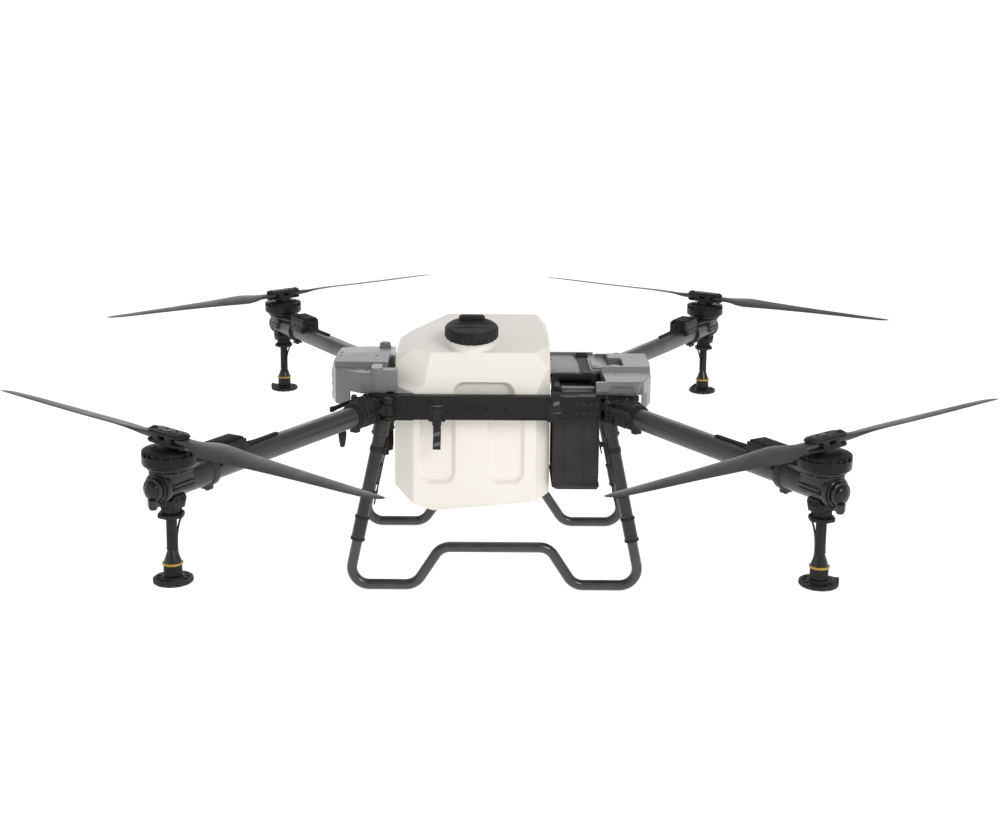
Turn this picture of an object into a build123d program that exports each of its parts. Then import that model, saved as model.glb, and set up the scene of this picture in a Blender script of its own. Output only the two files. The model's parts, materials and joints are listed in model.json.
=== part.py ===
"""Agricultural spray drone with four folding arms, a lift-out tank and a lift-out battery.

Millimetres, +Z up. The origin is on the ground, midway between the four motors. X runs from the
nose (-X) to the tail (+X) and Y across the drone (-Y is its left side). Each arm is modelled in its
own frame, x along the arm from the hinge joint face, y towards the hinge pin, z up from the tube's
axis, and is then placed at its corner. All four arms fold the same way round, like a pinwheel.
"""
import os
from math import atan2, cos, degrees, hypot, radians, sin, tan

from build123d import *

os.makedirs("parts", exist_ok=True)

# Motor and arm layout
MOTOR_X, MOTOR_Y = 660.0, 844.0
JOINT_X, JOINT_Y = 298.0, 228.0
ARM_Z = 452.0
ARM_LENGTH = hypot(MOTOR_X - JOINT_X, MOTOR_Y - JOINT_Y)
ARM_ANGLE = degrees(atan2(MOTOR_Y - JOINT_Y, MOTOR_X - JOINT_X))
TUBE_R, TUBE_WALL = 25.0, 2.5
PIVOT_Y = 44.0
PIVOT_R = 5.0
RUNNING_FIT = 0.05

# Frame
BEAM_LENGTH, BEAM_HEIGHT, BEAM_DEPTH, SHEET = 510.0, 56.0, 26.0, 3.0
BEAM_Z, BEAM_FACE_Y = 457.0, 232.0
CROSS_X, CROSS_WIDTH, CROSS_HALF = 258.0, 25.0, 150.0
ACCESSORY_SPACING, ACCESSORY_HOLE_R = 48.0, 2.6
TRAY_Z = 480.5

# Landing gear
SKID_R, SKID_WALL, LEG_R = 13.0, 2.0, 15.0
SKID_FOOT_X, SKID_INNER_X, SKID_TOP_X, SKID_RISE = 361.0, 195.0, 133.0, 95.0
SKID_Y, LEG_TOP_Y = 245.0, 222.0
LEG_SLOPE = 0.208
LEG_JOIN, LEG_TOP = 140.0, 396.0

# Propulsion, measured from the arm tube's axis
PROP_R, PROP_Z = 609.6, 96.0
CAN_R, CAN_BOTTOM, CAN_TOP = 58.5, 41.0, 76.0
MOUNT_R = 31.0
BLADE_PIN_X = 46.0
BLADE_ANGLES = {"front_left": -41.3, "rear_left": 39.1, "front_right": 43.3, "rear_right": -38.2}

# Tank, battery and covers
TANK_WALL = 4.0
NECK_X, NECK_Y, NECK_Z, NECK_TILT = -61.0, -112.0, 612.0, 11.8
NECK_R, NECK_BORE_R, LID_R = 56.0, 48.0, 67.0
BATTERY_X, BATTERY_Y = (140.0, 257.0), (-200.0, -25.0)
BATTERY_Z = (247.0, 486.0)
DECK_Z = 497.0
COVER_WALL = 3.0


def write(part, name):
    """Label one finished piece and write its STEP."""
    part.label = name
    export_step(part, f"parts/{name}.step")


def corner_plane(sx, sy):
    """The arm frame of one corner: x out along the arm, y a quarter turn anticlockwise from it."""
    along = (sx * cos(radians(ARM_ANGLE)), sy * sin(radians(ARM_ANGLE)), 0)
    return Plane(origin=(sx * JOINT_X, sy * JOINT_Y, ARM_Z), x_dir=along, z_dir=(0, 0, 1))


CORNERS = {
    "front_left": corner_plane(-1, -1),
    "rear_left": corner_plane(1, -1),
    "front_right": corner_plane(-1, 1),
    "rear_right": corner_plane(1, 1),
}


def write_at_corners(part, stem):
    """Write one copy of an arm-frame piece at each corner, as stem_corner."""
    for corner, plane in CORNERS.items():
        write(plane.location * part, f"{stem}_{corner}")


# ---------------------------------------------------------------- frame
def beam(face_y):
    """A folded channel along X: its web faces outwards at face_y, its flanges point inwards."""
    inward = -1 if face_y > 0 else 1
    with BuildPart() as channel:
        with Locations((0, face_y + inward * BEAM_DEPTH / 2, BEAM_Z)):
            Box(BEAM_LENGTH, BEAM_DEPTH, BEAM_HEIGHT)
        with Locations((0, face_y + inward * (BEAM_DEPTH / 2 + SHEET), BEAM_Z)):
            Box(BEAM_LENGTH + 2, BEAM_DEPTH, BEAM_HEIGHT - 2 * SHEET, mode=Mode.SUBTRACT)
        with Locations(Plane(origin=(0, face_y, BEAM_Z), x_dir=(1, 0, 0), z_dir=(0, -inward, 0))):
            with GridLocations(ACCESSORY_SPACING, 1, 2, 1):
                Cylinder(ACCESSORY_HOLE_R, 4 * SHEET, mode=Mode.SUBTRACT)
            for side in (-1, 1):
                with Locations((side * 222, 0)):
                    with GridLocations(16, 24, 4, 2):
                        Cylinder(1.6, 4 * SHEET, mode=Mode.SUBTRACT)
    return channel.part


write(Compound(children=[beam(-BEAM_FACE_Y), beam(BEAM_FACE_Y)]), "frame_beams")

# Cross channels carry the covers; corner plates tie beam, cross channel and hinge bracket together.
PLATE_OUTLINE = [(CROSS_X, 120), (CROSS_X + CROSS_WIDTH, 120), (318, 186), (291, 232), (200, 232), (200, 206),
                 (CROSS_X, 206)]


def corner_plate(sx, sy, z):
    """One flat plate at a corner, on top of or under the frame."""
    with BuildPart() as plate:
        with BuildSketch(Plane.XY.offset(z)):
            with BuildLine():
                Polyline([(sx * x, sy * y) for x, y in PLATE_OUTLINE], close=True)
            make_face()
        extrude(amount=SHEET)
    return plate.part


def cross_channel(sx):
    """One box section across the frame, between the beams."""
    with BuildPart() as channel:
        with Locations((sx * (CROSS_X + CROSS_WIDTH / 2), 0, BEAM_Z)):
            Box(CROSS_WIDTH, 2 * CROSS_HALF, BEAM_HEIGHT)
            Box(CROSS_WIDTH - 2 * SHEET, 2 * CROSS_HALF + 2, BEAM_HEIGHT - 2 * SHEET, mode=Mode.SUBTRACT)
    return channel.part


plate_levels = (BEAM_Z + BEAM_HEIGHT / 2, BEAM_Z - BEAM_HEIGHT / 2 - SHEET)
plates = [corner_plate(sx, sy, z) for sx in (-1, 1) for sy in (-1, 1) for z in plate_levels]
with BuildPart() as avionics_tray:
    with Locations((-CROSS_X - CROSS_WIDTH - 55, 0, TRAY_Z)):
        Box(110, 130, SHEET)
# The battery stands in an open tray hung from the inner face of the tail cross channel.
with BuildPart() as battery_tray:
    with Locations((204, -20.5, (BATTERY_Z[0] - 5 + BEAM_Z + BEAM_HEIGHT / 2) / 2 - SHEET)):
        Box(2 * (CROSS_X - 204), SHEET, BEAM_Z + BEAM_HEIGHT / 2 - BATTERY_Z[0] + 5)
    with Locations((204, -100, BATTERY_Z[0] - 5 - SHEET / 2)):
        Box(100, 162, SHEET)
frame_pieces = [cross_channel(-1), cross_channel(1), avionics_tray.part, battery_tray.part, *plates]
write(Compound(children=frame_pieces), "frame_cross")

# ---------------------------------------------------------------- fold joints
BLOCK_BOTTOM, BLOCK_TOP = BEAM_Z - BEAM_HEIGHT / 2 - ARM_Z, BEAM_Z + BEAM_HEIGHT / 2 - ARM_Z
BARREL_R = 14.0
MOVING_LUG = (-9.0, 19.0)
LEVER_PIN = (17.0, -44.0)

with BuildPart() as bracket:
    with BuildSketch(Plane.XY.offset(BLOCK_BOTTOM)):
        with BuildLine():
            Polyline([(-0.5, -33), (-0.5, 29), (-40, 29), (-58, 14), (-52, -8), (-36, -33)], close=True)
        make_face()
    extrude(amount=BLOCK_TOP - BLOCK_BOTTOM)
    for low, high in ((BLOCK_BOTTOM, MOVING_LUG[0] - 0.5), (MOVING_LUG[1] + 0.5, BLOCK_TOP)):
        with BuildSketch(Plane.XY.offset(low)):
            with Locations((0, PIVOT_Y)):
                Circle(BARREL_R)
            with BuildLine():
                Polyline([(-0.5, 20), (-0.5, PIVOT_Y), (-BARREL_R, PIVOT_Y), (-36, 20)], close=True)
            make_face()
        extrude(amount=high - low)
    with Locations((0, PIVOT_Y, 0)):
        Cylinder(PIVOT_R + RUNNING_FIT, 100, mode=Mode.SUBTRACT)
        # room for the moving lug to turn
        with Locations((0, 0, (MOVING_LUG[0] + MOVING_LUG[1]) / 2)):
            Cylinder(BARREL_R + 1, MOVING_LUG[1] - MOVING_LUG[0] + 1, mode=Mode.SUBTRACT)
    # strike for the lock lever
    with Locations((-14, -37, 14)):
        Box(14, 9, 16)


def trimmed_bracket(plane):
    """The bracket at its corner, cut back where the end of the beam fits against it."""
    placed = plane.location * bracket.part
    side = -1 if plane.origin.Y < 0 else 1
    beam_end = Pos(0, side * (BEAM_FACE_Y - BEAM_DEPTH / 2), BEAM_Z) * Box(BEAM_LENGTH + 0.2, BEAM_DEPTH, 200)
    return placed - beam_end


write(Compound(children=[trimmed_bracket(plane) for plane in CORNERS.values()]), "hinge_brackets")

with BuildPart() as pin:
    with BuildSketch(Plane.XY.offset(BLOCK_BOTTOM - SHEET)):
        with Locations((0, PIVOT_Y)):
            Circle(PIVOT_R)
    extrude(amount=BLOCK_TOP - BLOCK_BOTTOM + 2 * SHEET)
    for low in (BLOCK_BOTTOM - SHEET, BLOCK_TOP):
        with BuildSketch(Plane.XY.offset(low)):
            with Locations((0, PIVOT_Y)):
                Circle(PIVOT_R + 4)
        extrude(amount=SHEET)
write(Compound(children=[plane.location * pin.part for plane in CORNERS.values()]), "hinge_pins")

with BuildPart() as knuckle:
    with BuildSketch(Plane.XY.offset(BLOCK_BOTTOM - 2)):
        with BuildLine():
            Polyline([(0.5, -33), (0.5, 29), (46, 29), (62, 20), (62, -24), (46, -33)], close=True)
        make_face()
    extrude(amount=BLOCK_TOP - BLOCK_BOTTOM)
    with Locations(Plane.YZ.offset(40)):
        Cylinder(33, 45, align=(Align.CENTER, Align.CENTER, Align.MIN))
    with BuildSketch(Plane.XY.offset(MOVING_LUG[0])):
        with Locations((0, PIVOT_Y)):
            Circle(BARREL_R)
        with BuildLine():
            Polyline([(0.5, 20), (0.5, PIVOT_Y), (BARREL_R, PIVOT_Y), (36, 20)], close=True)
        make_face()
    extrude(amount=MOVING_LUG[1] - MOVING_LUG[0])
    with Locations((0, PIVOT_Y, 0)):
        Cylinder(PIVOT_R + RUNNING_FIT, 100, mode=Mode.SUBTRACT)
    for low in (4, 24.5):
        with BuildSketch(Plane.XY.offset(low)):
            with Locations((LEVER_PIN[0], -37.5)):
                Rectangle(15, 15)
            with Locations(LEVER_PIN):
                Circle(7.5)
        extrude(amount=4.5)
    with BuildSketch(Plane.XY.offset(4)):
        with Locations(LEVER_PIN):
            Circle(3)
    extrude(amount=25)
    with Locations(Plane.YZ.offset(14)):
        Cylinder(TUBE_R, 100, align=(Align.CENTER, Align.CENTER, Align.MIN), mode=Mode.SUBTRACT)
write_at_corners(knuckle.part, "hinge_knuckle")

with BuildPart() as lever:
    with BuildSketch(Plane.XY.offset(9)):
        with Locations(LEVER_PIN):
            Circle(7.5)
        with BuildLine():
            Polyline([(17, -51.5), (17, -38), (40, -40), (86, -38), (108, -40), (108, -53), (84, -50),
                      (40, -51)],
                     close=True)
        make_face()
        with Locations(LEVER_PIN):
            Circle(3 + RUNNING_FIT, mode=Mode.SUBTRACT)
    extrude(amount=15)
write_at_corners(lever.part, "lock_lever")

with BuildPart() as tube:
    with BuildSketch(Plane.YZ.offset(14)):
        Circle(TUBE_R)
        Circle(TUBE_R - TUBE_WALL, mode=Mode.SUBTRACT)
    extrude(amount=ARM_LENGTH + 40 - 14)
write_at_corners(tube.part, "arm_tube")

# ---------------------------------------------------------------- motors, speed controllers, propellers
with BuildPart() as mount:
    with BuildSketch(Plane.YZ.offset(ARM_LENGTH - 104)):
        Circle(MOUNT_R)
        with Locations((0, -MOUNT_R)):
            Rectangle(26, 8)
    extrude(amount=16)
    with Locations(Plane.YZ.offset(ARM_LENGTH - 90)):
        Cylinder(MOUNT_R - 1.5, 130, align=(Align.CENTER, Align.CENTER, Align.MIN))
    with BuildSketch(Plane.XY.offset(-7)):
        with Locations((ARM_LENGTH, 0)):
            Circle(36)
    extrude(amount=CAN_BOTTOM)
    with BuildSketch(Plane.XY.offset(CAN_BOTTOM - 7)):
        with Locations((ARM_LENGTH, 0)):
            Circle(46)
    extrude(amount=6)
    with BuildSketch(Plane.XY.offset(CAN_BOTTOM - 1)):
        with Locations((ARM_LENGTH, 0)):
            Circle(8)
    extrude(amount=CAN_TOP - CAN_BOTTOM - 4)
    with Locations(Plane.YZ.offset(ARM_LENGTH - 120)):
        Cylinder(TUBE_R, 160, align=(Align.CENTER, Align.CENTER, Align.MIN), mode=Mode.SUBTRACT)
    # round end cap with the navigation lamp, and the sensor stub under it
    with Locations(Plane.YZ.offset(ARM_LENGTH + 40)):
        Cylinder(MOUNT_R - 3, 5, align=(Align.CENTER, Align.CENTER, Align.MIN))
        Cylinder(23, 13, align=(Align.CENTER, Align.CENTER, Align.MIN))
        Cylinder(19, 24, align=(Align.CENTER, Align.CENTER, Align.MIN))
    with BuildSketch(Plane.XY.offset(-37)):
        with Locations((ARM_LENGTH + 52, 0)):
            RegularPolygon(9, 6)
    extrude(amount=25)
write_at_corners(mount.part, "motor_mount")

with BuildPart() as esc:
    with BuildSketch(Plane.YZ.offset(ARM_LENGTH - 212)):
        with BuildLine():
            Polyline([(-27, 14), (-27, 44), (-20, 52), (20, 52), (27, 44), (27, 14)], close=True)
        make_face()
    extrude(amount=92)
    with Locations((ARM_LENGTH - 166, 0, 52)):
        with GridLocations(7, 1, 12, 1):
            Box(3, 48, 14)
    with Locations(Plane.YZ.offset(ARM_LENGTH - 220)):
        Cylinder(TUBE_R, 120, align=(Align.CENTER, Align.CENTER, Align.MIN), mode=Mode.SUBTRACT)
write_at_corners(esc.part, "speed_controller")

with BuildPart() as rotor:
    with BuildSketch(Plane.XZ):
        with BuildLine():
            Polyline([(8.5, 62), (8.5, CAN_TOP), (52, CAN_TOP), (CAN_R, CAN_TOP - 4), (CAN_R, CAN_BOTTOM + 6),
                      (54, CAN_BOTTOM), (52, CAN_BOTTOM), (52, 66), (48, 70), (14, 70), (14, 62)], close=True)
        make_face()
    revolve(axis=Axis.Z)
    with PolarLocations(CAN_R - 2, 24):
        with Locations((0, 0, 68)):
            Box(12, 11, 5, mode=Mode.SUBTRACT)
rotor_part = Pos(ARM_LENGTH, 0, 0) * rotor.part
write_at_corners(rotor_part, "motor_rotor")

HUB_HALF, HUB_WIDTH = 58.0, 40.0
ROOT_THICK = 13.0

with BuildPart() as hub:
    with BuildSketch(Plane.XY.offset(CAN_TOP)):
        Circle(24)
    extrude(amount=PROP_Z - ROOT_THICK / 2 - CAN_TOP)
    for low, thick in ((PROP_Z - ROOT_THICK / 2 - 5, 5), (PROP_Z + ROOT_THICK / 2, 6)):
        with BuildSketch(Plane.XY.offset(low)):
            SlotOverall(2 * HUB_HALF, HUB_WIDTH)
        extrude(amount=thick)
    with BuildSketch(Plane.XY.offset(PROP_Z - ROOT_THICK / 2)):
        Rectangle(30, 30)
    extrude(amount=ROOT_THICK)
    with BuildSketch(Plane.XY.offset(PROP_Z - ROOT_THICK / 2)):
        with GridLocations(2 * BLADE_PIN_X, 1, 2, 1):
            Circle(4)
    extrude(amount=ROOT_THICK)

# Chord, centre of the chord behind the blade's axis, thickness, pitch at each station of one blade.
BLADE_STATIONS = [
    # radius, chord, sweep, thickness, pitch
    (72.0, 27.0, 0.0, 12.0, 2.0),
    (110.0, 42.0, 2.0, 10.0, 12.0),
    (180.0, 88.0, 4.0, 8.5, 17.0),
    (280.0, 80.0, 2.0, 6.5, 13.0),
    (400.0, 64.0, 0.0, 5.0, 9.5),
    (520.0, 48.0, -2.0, 3.8, 7.0),
    (580.0, 32.0, -6.0, 3.0, 6.0),
    (PROP_R, 9.0, -14.0, 2.0, 5.0),
]


with BuildPart() as blade:
    with BuildSketch(Plane.XY.offset(PROP_Z - ROOT_THICK / 2 + 0.1)):
        with Locations((BLADE_PIN_X, 0)):
            Circle(13.5)
        with Locations(((BLADE_PIN_X + 72) / 2, 0)):
            Rectangle(72 - BLADE_PIN_X, 27)
        with Locations((BLADE_PIN_X, 0)):
            Circle(4 + RUNNING_FIT, mode=Mode.SUBTRACT)
    extrude(amount=ROOT_THICK - 0.2)
    for radius, chord, sweep_back, thick, pitch in BLADE_STATIONS:
        lean = radians(-pitch)
        section = Plane(origin=(radius, sweep_back, PROP_Z), x_dir=(0, cos(lean), sin(lean)), z_dir=(1, 0, 0))
        with BuildSketch(section):
            Ellipse(chord / 2, thick / 2)
    loft()

# The blade above belongs to a propeller that turns clockwise from above; its mirror turns the other way.
blades = {-1: blade.part, 1: blade.part.mirror(Plane.XZ)}
for corner, plane in CORNERS.items():
    sx, sy = (1 if plane.origin.X > 0 else -1), (1 if plane.origin.Y > 0 else -1)
    hand = sx * sy
    spin = Pos(sx * MOTOR_X, sy * MOTOR_Y, ARM_Z) * Rot(0, 0, BLADE_ANGLES[corner])
    write(spin * hub.part, f"prop_hub_{corner}")
    write(spin * blades[hand], f"blade_a_{corner}")
    write(spin * Rot(0, 0, 180) * blades[hand], f"blade_b_{corner}")

# ---------------------------------------------------------------- spray nozzles
NOZZLE_FLANGE, SHAFT_BOTTOM, CONE_BOTTOM, BODY_BOTTOM = -60.0, -139.0, -165.0, -192.0
SHAFT_R, NOZZLE_R, DISC_R, DISC_STUB_R = 11.0, 19.0, 42.0, 6.0

with BuildPart() as nozzle:
    with BuildSketch(Plane.XY.offset(-20)):
        Rectangle(40, 52)
    with BuildSketch(Plane.XY.offset(-46)):
        Rectangle(32, 38)
    loft()
    with BuildSketch(Plane.XY.offset(NOZZLE_FLANGE)):
        RegularPolygon(22, 6)
    extrude(amount=16)
    with BuildSketch(Plane.XY.offset(NOZZLE_FLANGE - 8)):
        RegularPolygon(30, 6)
    extrude(amount=8)
    with Locations(Plane.YZ):
        Cylinder(MOUNT_R - 1.5, 90, mode=Mode.SUBTRACT)
    with BuildSketch(Plane.XZ):
        with BuildLine():
            Polyline([(0, NOZZLE_FLANGE), (SHAFT_R, NOZZLE_FLANGE), (SHAFT_R, SHAFT_BOTTOM),
                      (18, CONE_BOTTOM),
                      (20, CONE_BOTTOM), (20, CONE_BOTTOM - 5), (NOZZLE_R, CONE_BOTTOM - 5),
                      (NOZZLE_R, BODY_BOTTOM), (DISC_STUB_R + RUNNING_FIT, BODY_BOTTOM),
                      (DISC_STUB_R + RUNNING_FIT, BODY_BOTTOM + 20), (0, BODY_BOTTOM + 20)], close=True)
        make_face()
    revolve(axis=Axis.Z)
nozzle_part = Pos(ARM_LENGTH, 0, 0) * nozzle.part
write_at_corners(nozzle_part, "nozzle")

with BuildPart() as disc:
    with BuildSketch(Plane.XZ):
        with BuildLine():
            Polyline([(0, BODY_BOTTOM + 18), (DISC_STUB_R, BODY_BOTTOM + 18), (DISC_STUB_R, BODY_BOTTOM - 1),
                      (24, BODY_BOTTOM - 1), (34, BODY_BOTTOM - 8), (DISC_R, BODY_BOTTOM - 9),
                      (DISC_R, BODY_BOTTOM - 13), (30, BODY_BOTTOM - 20), (0, BODY_BOTTOM - 20)], close=True)
        make_face()
    revolve(axis=Axis.Z)
    with PolarLocations(DISC_R + 1, 18):
        with Locations((0, 0, BODY_BOTTOM - 11)):
            Box(5, 6, 12, mode=Mode.SUBTRACT)
disc_part = Pos(ARM_LENGTH, 0, 0) * disc.part
write_at_corners(disc_part, "spray_disc")

# ---------------------------------------------------------------- landing gear
LEAN = atan2(SKID_Y - LEG_TOP_Y, LEG_TOP - SKID_R)


def skid_plane(sy):
    """The leaning plane that holds one skid and its two legs: x along X, y up the legs."""
    up = Vector(0, -sy * sin(LEAN), cos(LEAN))
    along = Vector(1, 0, 0)
    foot_y = sy * (SKID_Y + SKID_R * tan(LEAN))
    return Plane(origin=(0, foot_y, 0), x_dir=along, z_dir=along.cross(up))


def leg_x(height):
    """How far out the leg's axis is at a height."""
    return SKID_FOOT_X - LEG_SLOPE * (height - SKID_R)


def skid(sy):
    """One bent tube: two feet, a raised middle and the stubs that enter the legs."""
    top = LEG_JOIN + 32
    right = [(SKID_TOP_X, SKID_R + SKID_RISE), (SKID_INNER_X, SKID_R), (SKID_FOOT_X, SKID_R),
             (leg_x(top), top)]
    left = [(-x, z) for x, z in reversed(right)]
    plane = skid_plane(sy)
    with BuildPart() as bent:
        with BuildLine(plane) as path:
            FilletPolyline(*left, *right, radius=43)
        start = path.line @ 0
        with BuildSketch(Plane(origin=start, z_dir=path.line % 0)):
            Circle(SKID_R)
            Circle(SKID_R - SKID_WALL, mode=Mode.SUBTRACT)
        sweep(path=path.line)
    return bent.part


write(skid(-1), "left_skid")
write(skid(1), "right_skid")


def leg(sx, sy):
    """An upper leg tube, the rubber sleeve over its lower end and the socket round its top."""
    plane = skid_plane(sy)
    low = plane.from_local_coords(Vector(sx * leg_x(LEG_JOIN), LEG_JOIN, 0))
    high = plane.from_local_coords(Vector(sx * leg_x(LEG_TOP), LEG_TOP, 0))
    axis = (high - low).normalized()
    length = (high - low).length
    with BuildPart() as upper:
        with BuildSketch(Plane(origin=low, z_dir=axis)):
            Circle(LEG_R)
            Circle(SKID_R, mode=Mode.SUBTRACT)
        extrude(amount=length)
    with BuildPart() as sleeve:
        with BuildSketch(Plane(origin=low - axis * 14, z_dir=axis)):
            Circle(LEG_R + 1.5)
            Circle(SKID_R, mode=Mode.SUBTRACT)
        extrude(amount=14)
        with BuildSketch(Plane(origin=low, z_dir=axis)):
            Circle(LEG_R + 1.5)
            Circle(LEG_R, mode=Mode.SUBTRACT)
        extrude(amount=44)
    with BuildPart() as socket:
        with BuildSketch(Plane(origin=high - axis * 8, z_dir=axis)):
            Circle(LEG_R + 4.5)
            Circle(LEG_R, mode=Mode.SUBTRACT)
        extrude(amount=8)
        with BuildSketch(Plane(origin=high, z_dir=axis)):
            Circle(LEG_R + 4.5)
        extrude(amount=60)
        with BuildSketch(Plane.XY.offset(BEAM_Z - BEAM_HEIGHT / 2 - SHEET)):
            Rectangle(2000, 2000)
        extrude(amount=200, mode=Mode.SUBTRACT)
    return [upper.part, sleeve.part, socket.part]


legs = [piece for sx in (-1, 1) for sy in (-1, 1) for piece in leg(sx, sy)]
write(Compound(children=legs), "legs")


# ---------------------------------------------------------------- tank and lid
NECK_PLANE = Plane(origin=(NECK_X, NECK_Y, NECK_Z), x_dir=(1, 0, 0),
                   z_dir=(0, -sin(radians(NECK_TILT)), cos(radians(NECK_TILT))))


def tank_solid(inset):
    """The tank's outer shape, or its cavity where inset is the wall: where three outlines meet."""
    with BuildPart() as body:
        with BuildSketch(Plane.XZ.offset(-200)):
            with BuildLine():
                Polyline([(-250, 242), (-207, 207), (-155, 182), (104, 213), (134, 226), (134, 598),
                          (112, 622), (112, 660), (-129, 660), (-129, 622), (-250, 564)], close=True)
            make_face()
            if inset:
                offset(amount=-inset, kind=Kind.INTERSECTION, mode=Mode.REPLACE)
        extrude(amount=500)
        with BuildSketch(Plane.YZ.offset(-400)):
            with BuildLine():
                Polyline([(-180, 181), (-200, 203), (-200, 486), (-162, 581), (130, 624), (130, 100),
                          (-180, 100)], close=True)
            make_face()
            if inset:
                offset(amount=-inset, kind=Kind.INTERSECTION, mode=Mode.REPLACE)
        extrude(amount=800, mode=Mode.INTERSECT)
        with BuildSketch(Plane.XY):
            with BuildLine():
                Polyline([(-250, -158), (-202, -200), (98, -200), (134, -168), (134, 100), (104, 130),
                          (-220, 130), (-250, 100)], close=True)
            make_face()
            if inset:
                offset(amount=-inset, kind=Kind.INTERSECTION, mode=Mode.REPLACE)
        extrude(amount=900, mode=Mode.INTERSECT)
    return body.part


with BuildPart() as tank_cavity:
    add(tank_solid(TANK_WALL))
    # the wall keeps its thickness behind the grip recess and the two panels
    with Locations((-27, -200, 489)):
        Box(158, 44, 58, mode=Mode.SUBTRACT)
    with Locations((-58, -195, 353)):
        Box(268, 10, 202, mode=Mode.SUBTRACT)

with BuildPart() as tank:
    add(tank_solid(0))
    with BuildSketch(NECK_PLANE.offset(-45)):
        Circle(NECK_R)
    extrude(amount=63)
    # grip recess above the beam and the two stiffening panels below it
    with Locations((-27, -200, 489)):
        Box(150, 36, 50, mode=Mode.SUBTRACT)
    for low_x, high_x in ((-188, -98), (-22, 72)):
        with BuildSketch(Plane.XZ.offset(194)):
            with BuildLine():
                Polyline([(low_x, 450), (low_x, 274), (low_x + 18, 256), (high_x - 18, 256), (high_x, 274),
                          (high_x, 450)], close=True)
            make_face()
        extrude(amount=10, mode=Mode.SUBTRACT)
    # support lugs that rest on the cross channel at the nose and on the deck
    with Locations((-256.5, 0, BEAM_Z + BEAM_HEIGHT / 2 + 6)):
        Box(15, 90, 12)
    with Locations((142, 65, DECK_Z + 9)):
        Box(18, 90, 12)
    add(tank_cavity.part, mode=Mode.SUBTRACT)
    with BuildSketch(NECK_PLANE.offset(-70)):
        Circle(NECK_BORE_R)
    extrude(amount=105, mode=Mode.SUBTRACT)
write(tank.part, "tank")

with BuildPart() as lid:
    with BuildSketch(NECK_PLANE.offset(2)):
        Circle(LID_R)
        with PolarLocations(LID_R + 1.5, 24):
            Circle(3.2, mode=Mode.SUBTRACT)
    extrude(amount=24)
    with BuildSketch(NECK_PLANE.offset(-1)):
        Circle(NECK_R + 1)
    extrude(amount=19.2, mode=Mode.SUBTRACT)
    with BuildSketch(NECK_PLANE.offset(26)):
        Circle(LID_R - 8)
        with Locations((0, 38)):
            Rectangle(64, 22)
    extrude(amount=3)
    with BuildSketch(NECK_PLANE.offset(26)):
        with Locations((0, 44)):
            Rectangle(60, 24)
    extrude(amount=9)
write(lid.part, "tank_lid")

# ---------------------------------------------------------------- battery
battery_width = BATTERY_X[1] - BATTERY_X[0]
battery_depth = BATTERY_Y[1] - BATTERY_Y[0]
battery_mid = ((BATTERY_X[0] + BATTERY_X[1]) / 2, (BATTERY_Y[0] + BATTERY_Y[1]) / 2)
with BuildPart() as battery:
    with BuildSketch(Plane.XY.offset(BATTERY_Z[0] + 12)):
        with Locations(battery_mid):
            RectangleRounded(battery_width - 3, battery_depth - 3, 5)
            with Locations((0, -battery_depth / 2 + 1.5)):
                with GridLocations(battery_width / 4, 1, 3, 1):
                    Rectangle(3, 2.2, mode=Mode.SUBTRACT)
    extrude(amount=BATTERY_Z[1] - BATTERY_Z[0] - 12)
    with BuildSketch(Plane.XY.offset(BATTERY_Z[0])):
        with Locations(battery_mid):
            RectangleRounded(battery_width, battery_depth, 6)
    extrude(amount=12)
    with BuildSketch(Plane.XY.offset(BATTERY_Z[0] - 5)):
        with Locations(battery_mid):
            with GridLocations(battery_width - 30, 1, 2, 1):
                Rectangle(26, battery_depth - 20)
    extrude(amount=5)
    # carry handle: two posts and a bar
    with Locations((battery_mid[0], battery_mid[1] + 24, BATTERY_Z[1] + 6)):
        with GridLocations(battery_width - 20, 1, 2, 1):
            Box(14, 18, 12)
    with Locations((battery_mid[0], battery_mid[1] + 24, BATTERY_Z[1] + 20)):
        Box(battery_width - 6, 18, 16)
write(battery.part, "battery")

with BuildPart() as battery_strap:
    with BuildSketch(Plane.YZ.offset(218)):
        with BuildLine():
            Polyline([(-96, BATTERY_Z[1] + 28.2), (-60, BATTERY_Z[1] + 28.2), (-14, DECK_Z + 3.4),
                      (180, DECK_Z + 3.4), (180, DECK_Z + 5.6), (-13, DECK_Z + 5.6), (-59, BATTERY_Z[1] + 30.4),
                      (-96, BATTERY_Z[1] + 30.4)], close=True)
        make_face()
    extrude(amount=26)
write(battery_strap.part, "battery_strap")

# ---------------------------------------------------------------- covers
NOSE_OUTLINE = [(-268, -205), (-330, -205), (-396, -150), (-412, -90), (-412, 135), (-330, 205), (-268, 205)]
NOSE_PROFILE = [(-205, 536), (-142, 538), (-136, 550), (-15, 549), (190, 521), (206, 512)]
TAIL_OUTLINE = [(243, -222), (345, -222), (361, -205), (386, -130), (396, 0), (396, 135), (330, 205),
                (268, 205), (268, -203), (243, -203)]
TAIL_PROFILE = [(-222, 521), (-160, 521), (-90, 514), (-50, 523), (110, 523), (190, 504), (206, 499)]
COVER_BOTTOM = 448.0


def cover_solid(outline, profile, inset):
    """A cover's outer shape, or the open-bottomed space inside it: a plan outline under a roof profile."""
    low = COVER_BOTTOM - (10 if inset else 0)
    roof = [(y, z - inset) for y, z in profile]
    with BuildPart() as body:
        with BuildSketch(Plane.XY.offset(low)):
            with BuildLine():
                Polyline(outline, close=True)
            make_face()
            if inset:
                offset(amount=-inset, kind=Kind.INTERSECTION, mode=Mode.REPLACE)
        extrude(amount=200)
        with BuildSketch(Plane.YZ.offset(-500)):
            with BuildLine():
                Polyline([(-240, 400), (-240, roof[0][1]), *roof, (240, roof[-1][1]), (240, 400)], close=True)
            make_face()
        extrude(amount=1000, mode=Mode.INTERSECT)
    return body.part


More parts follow.
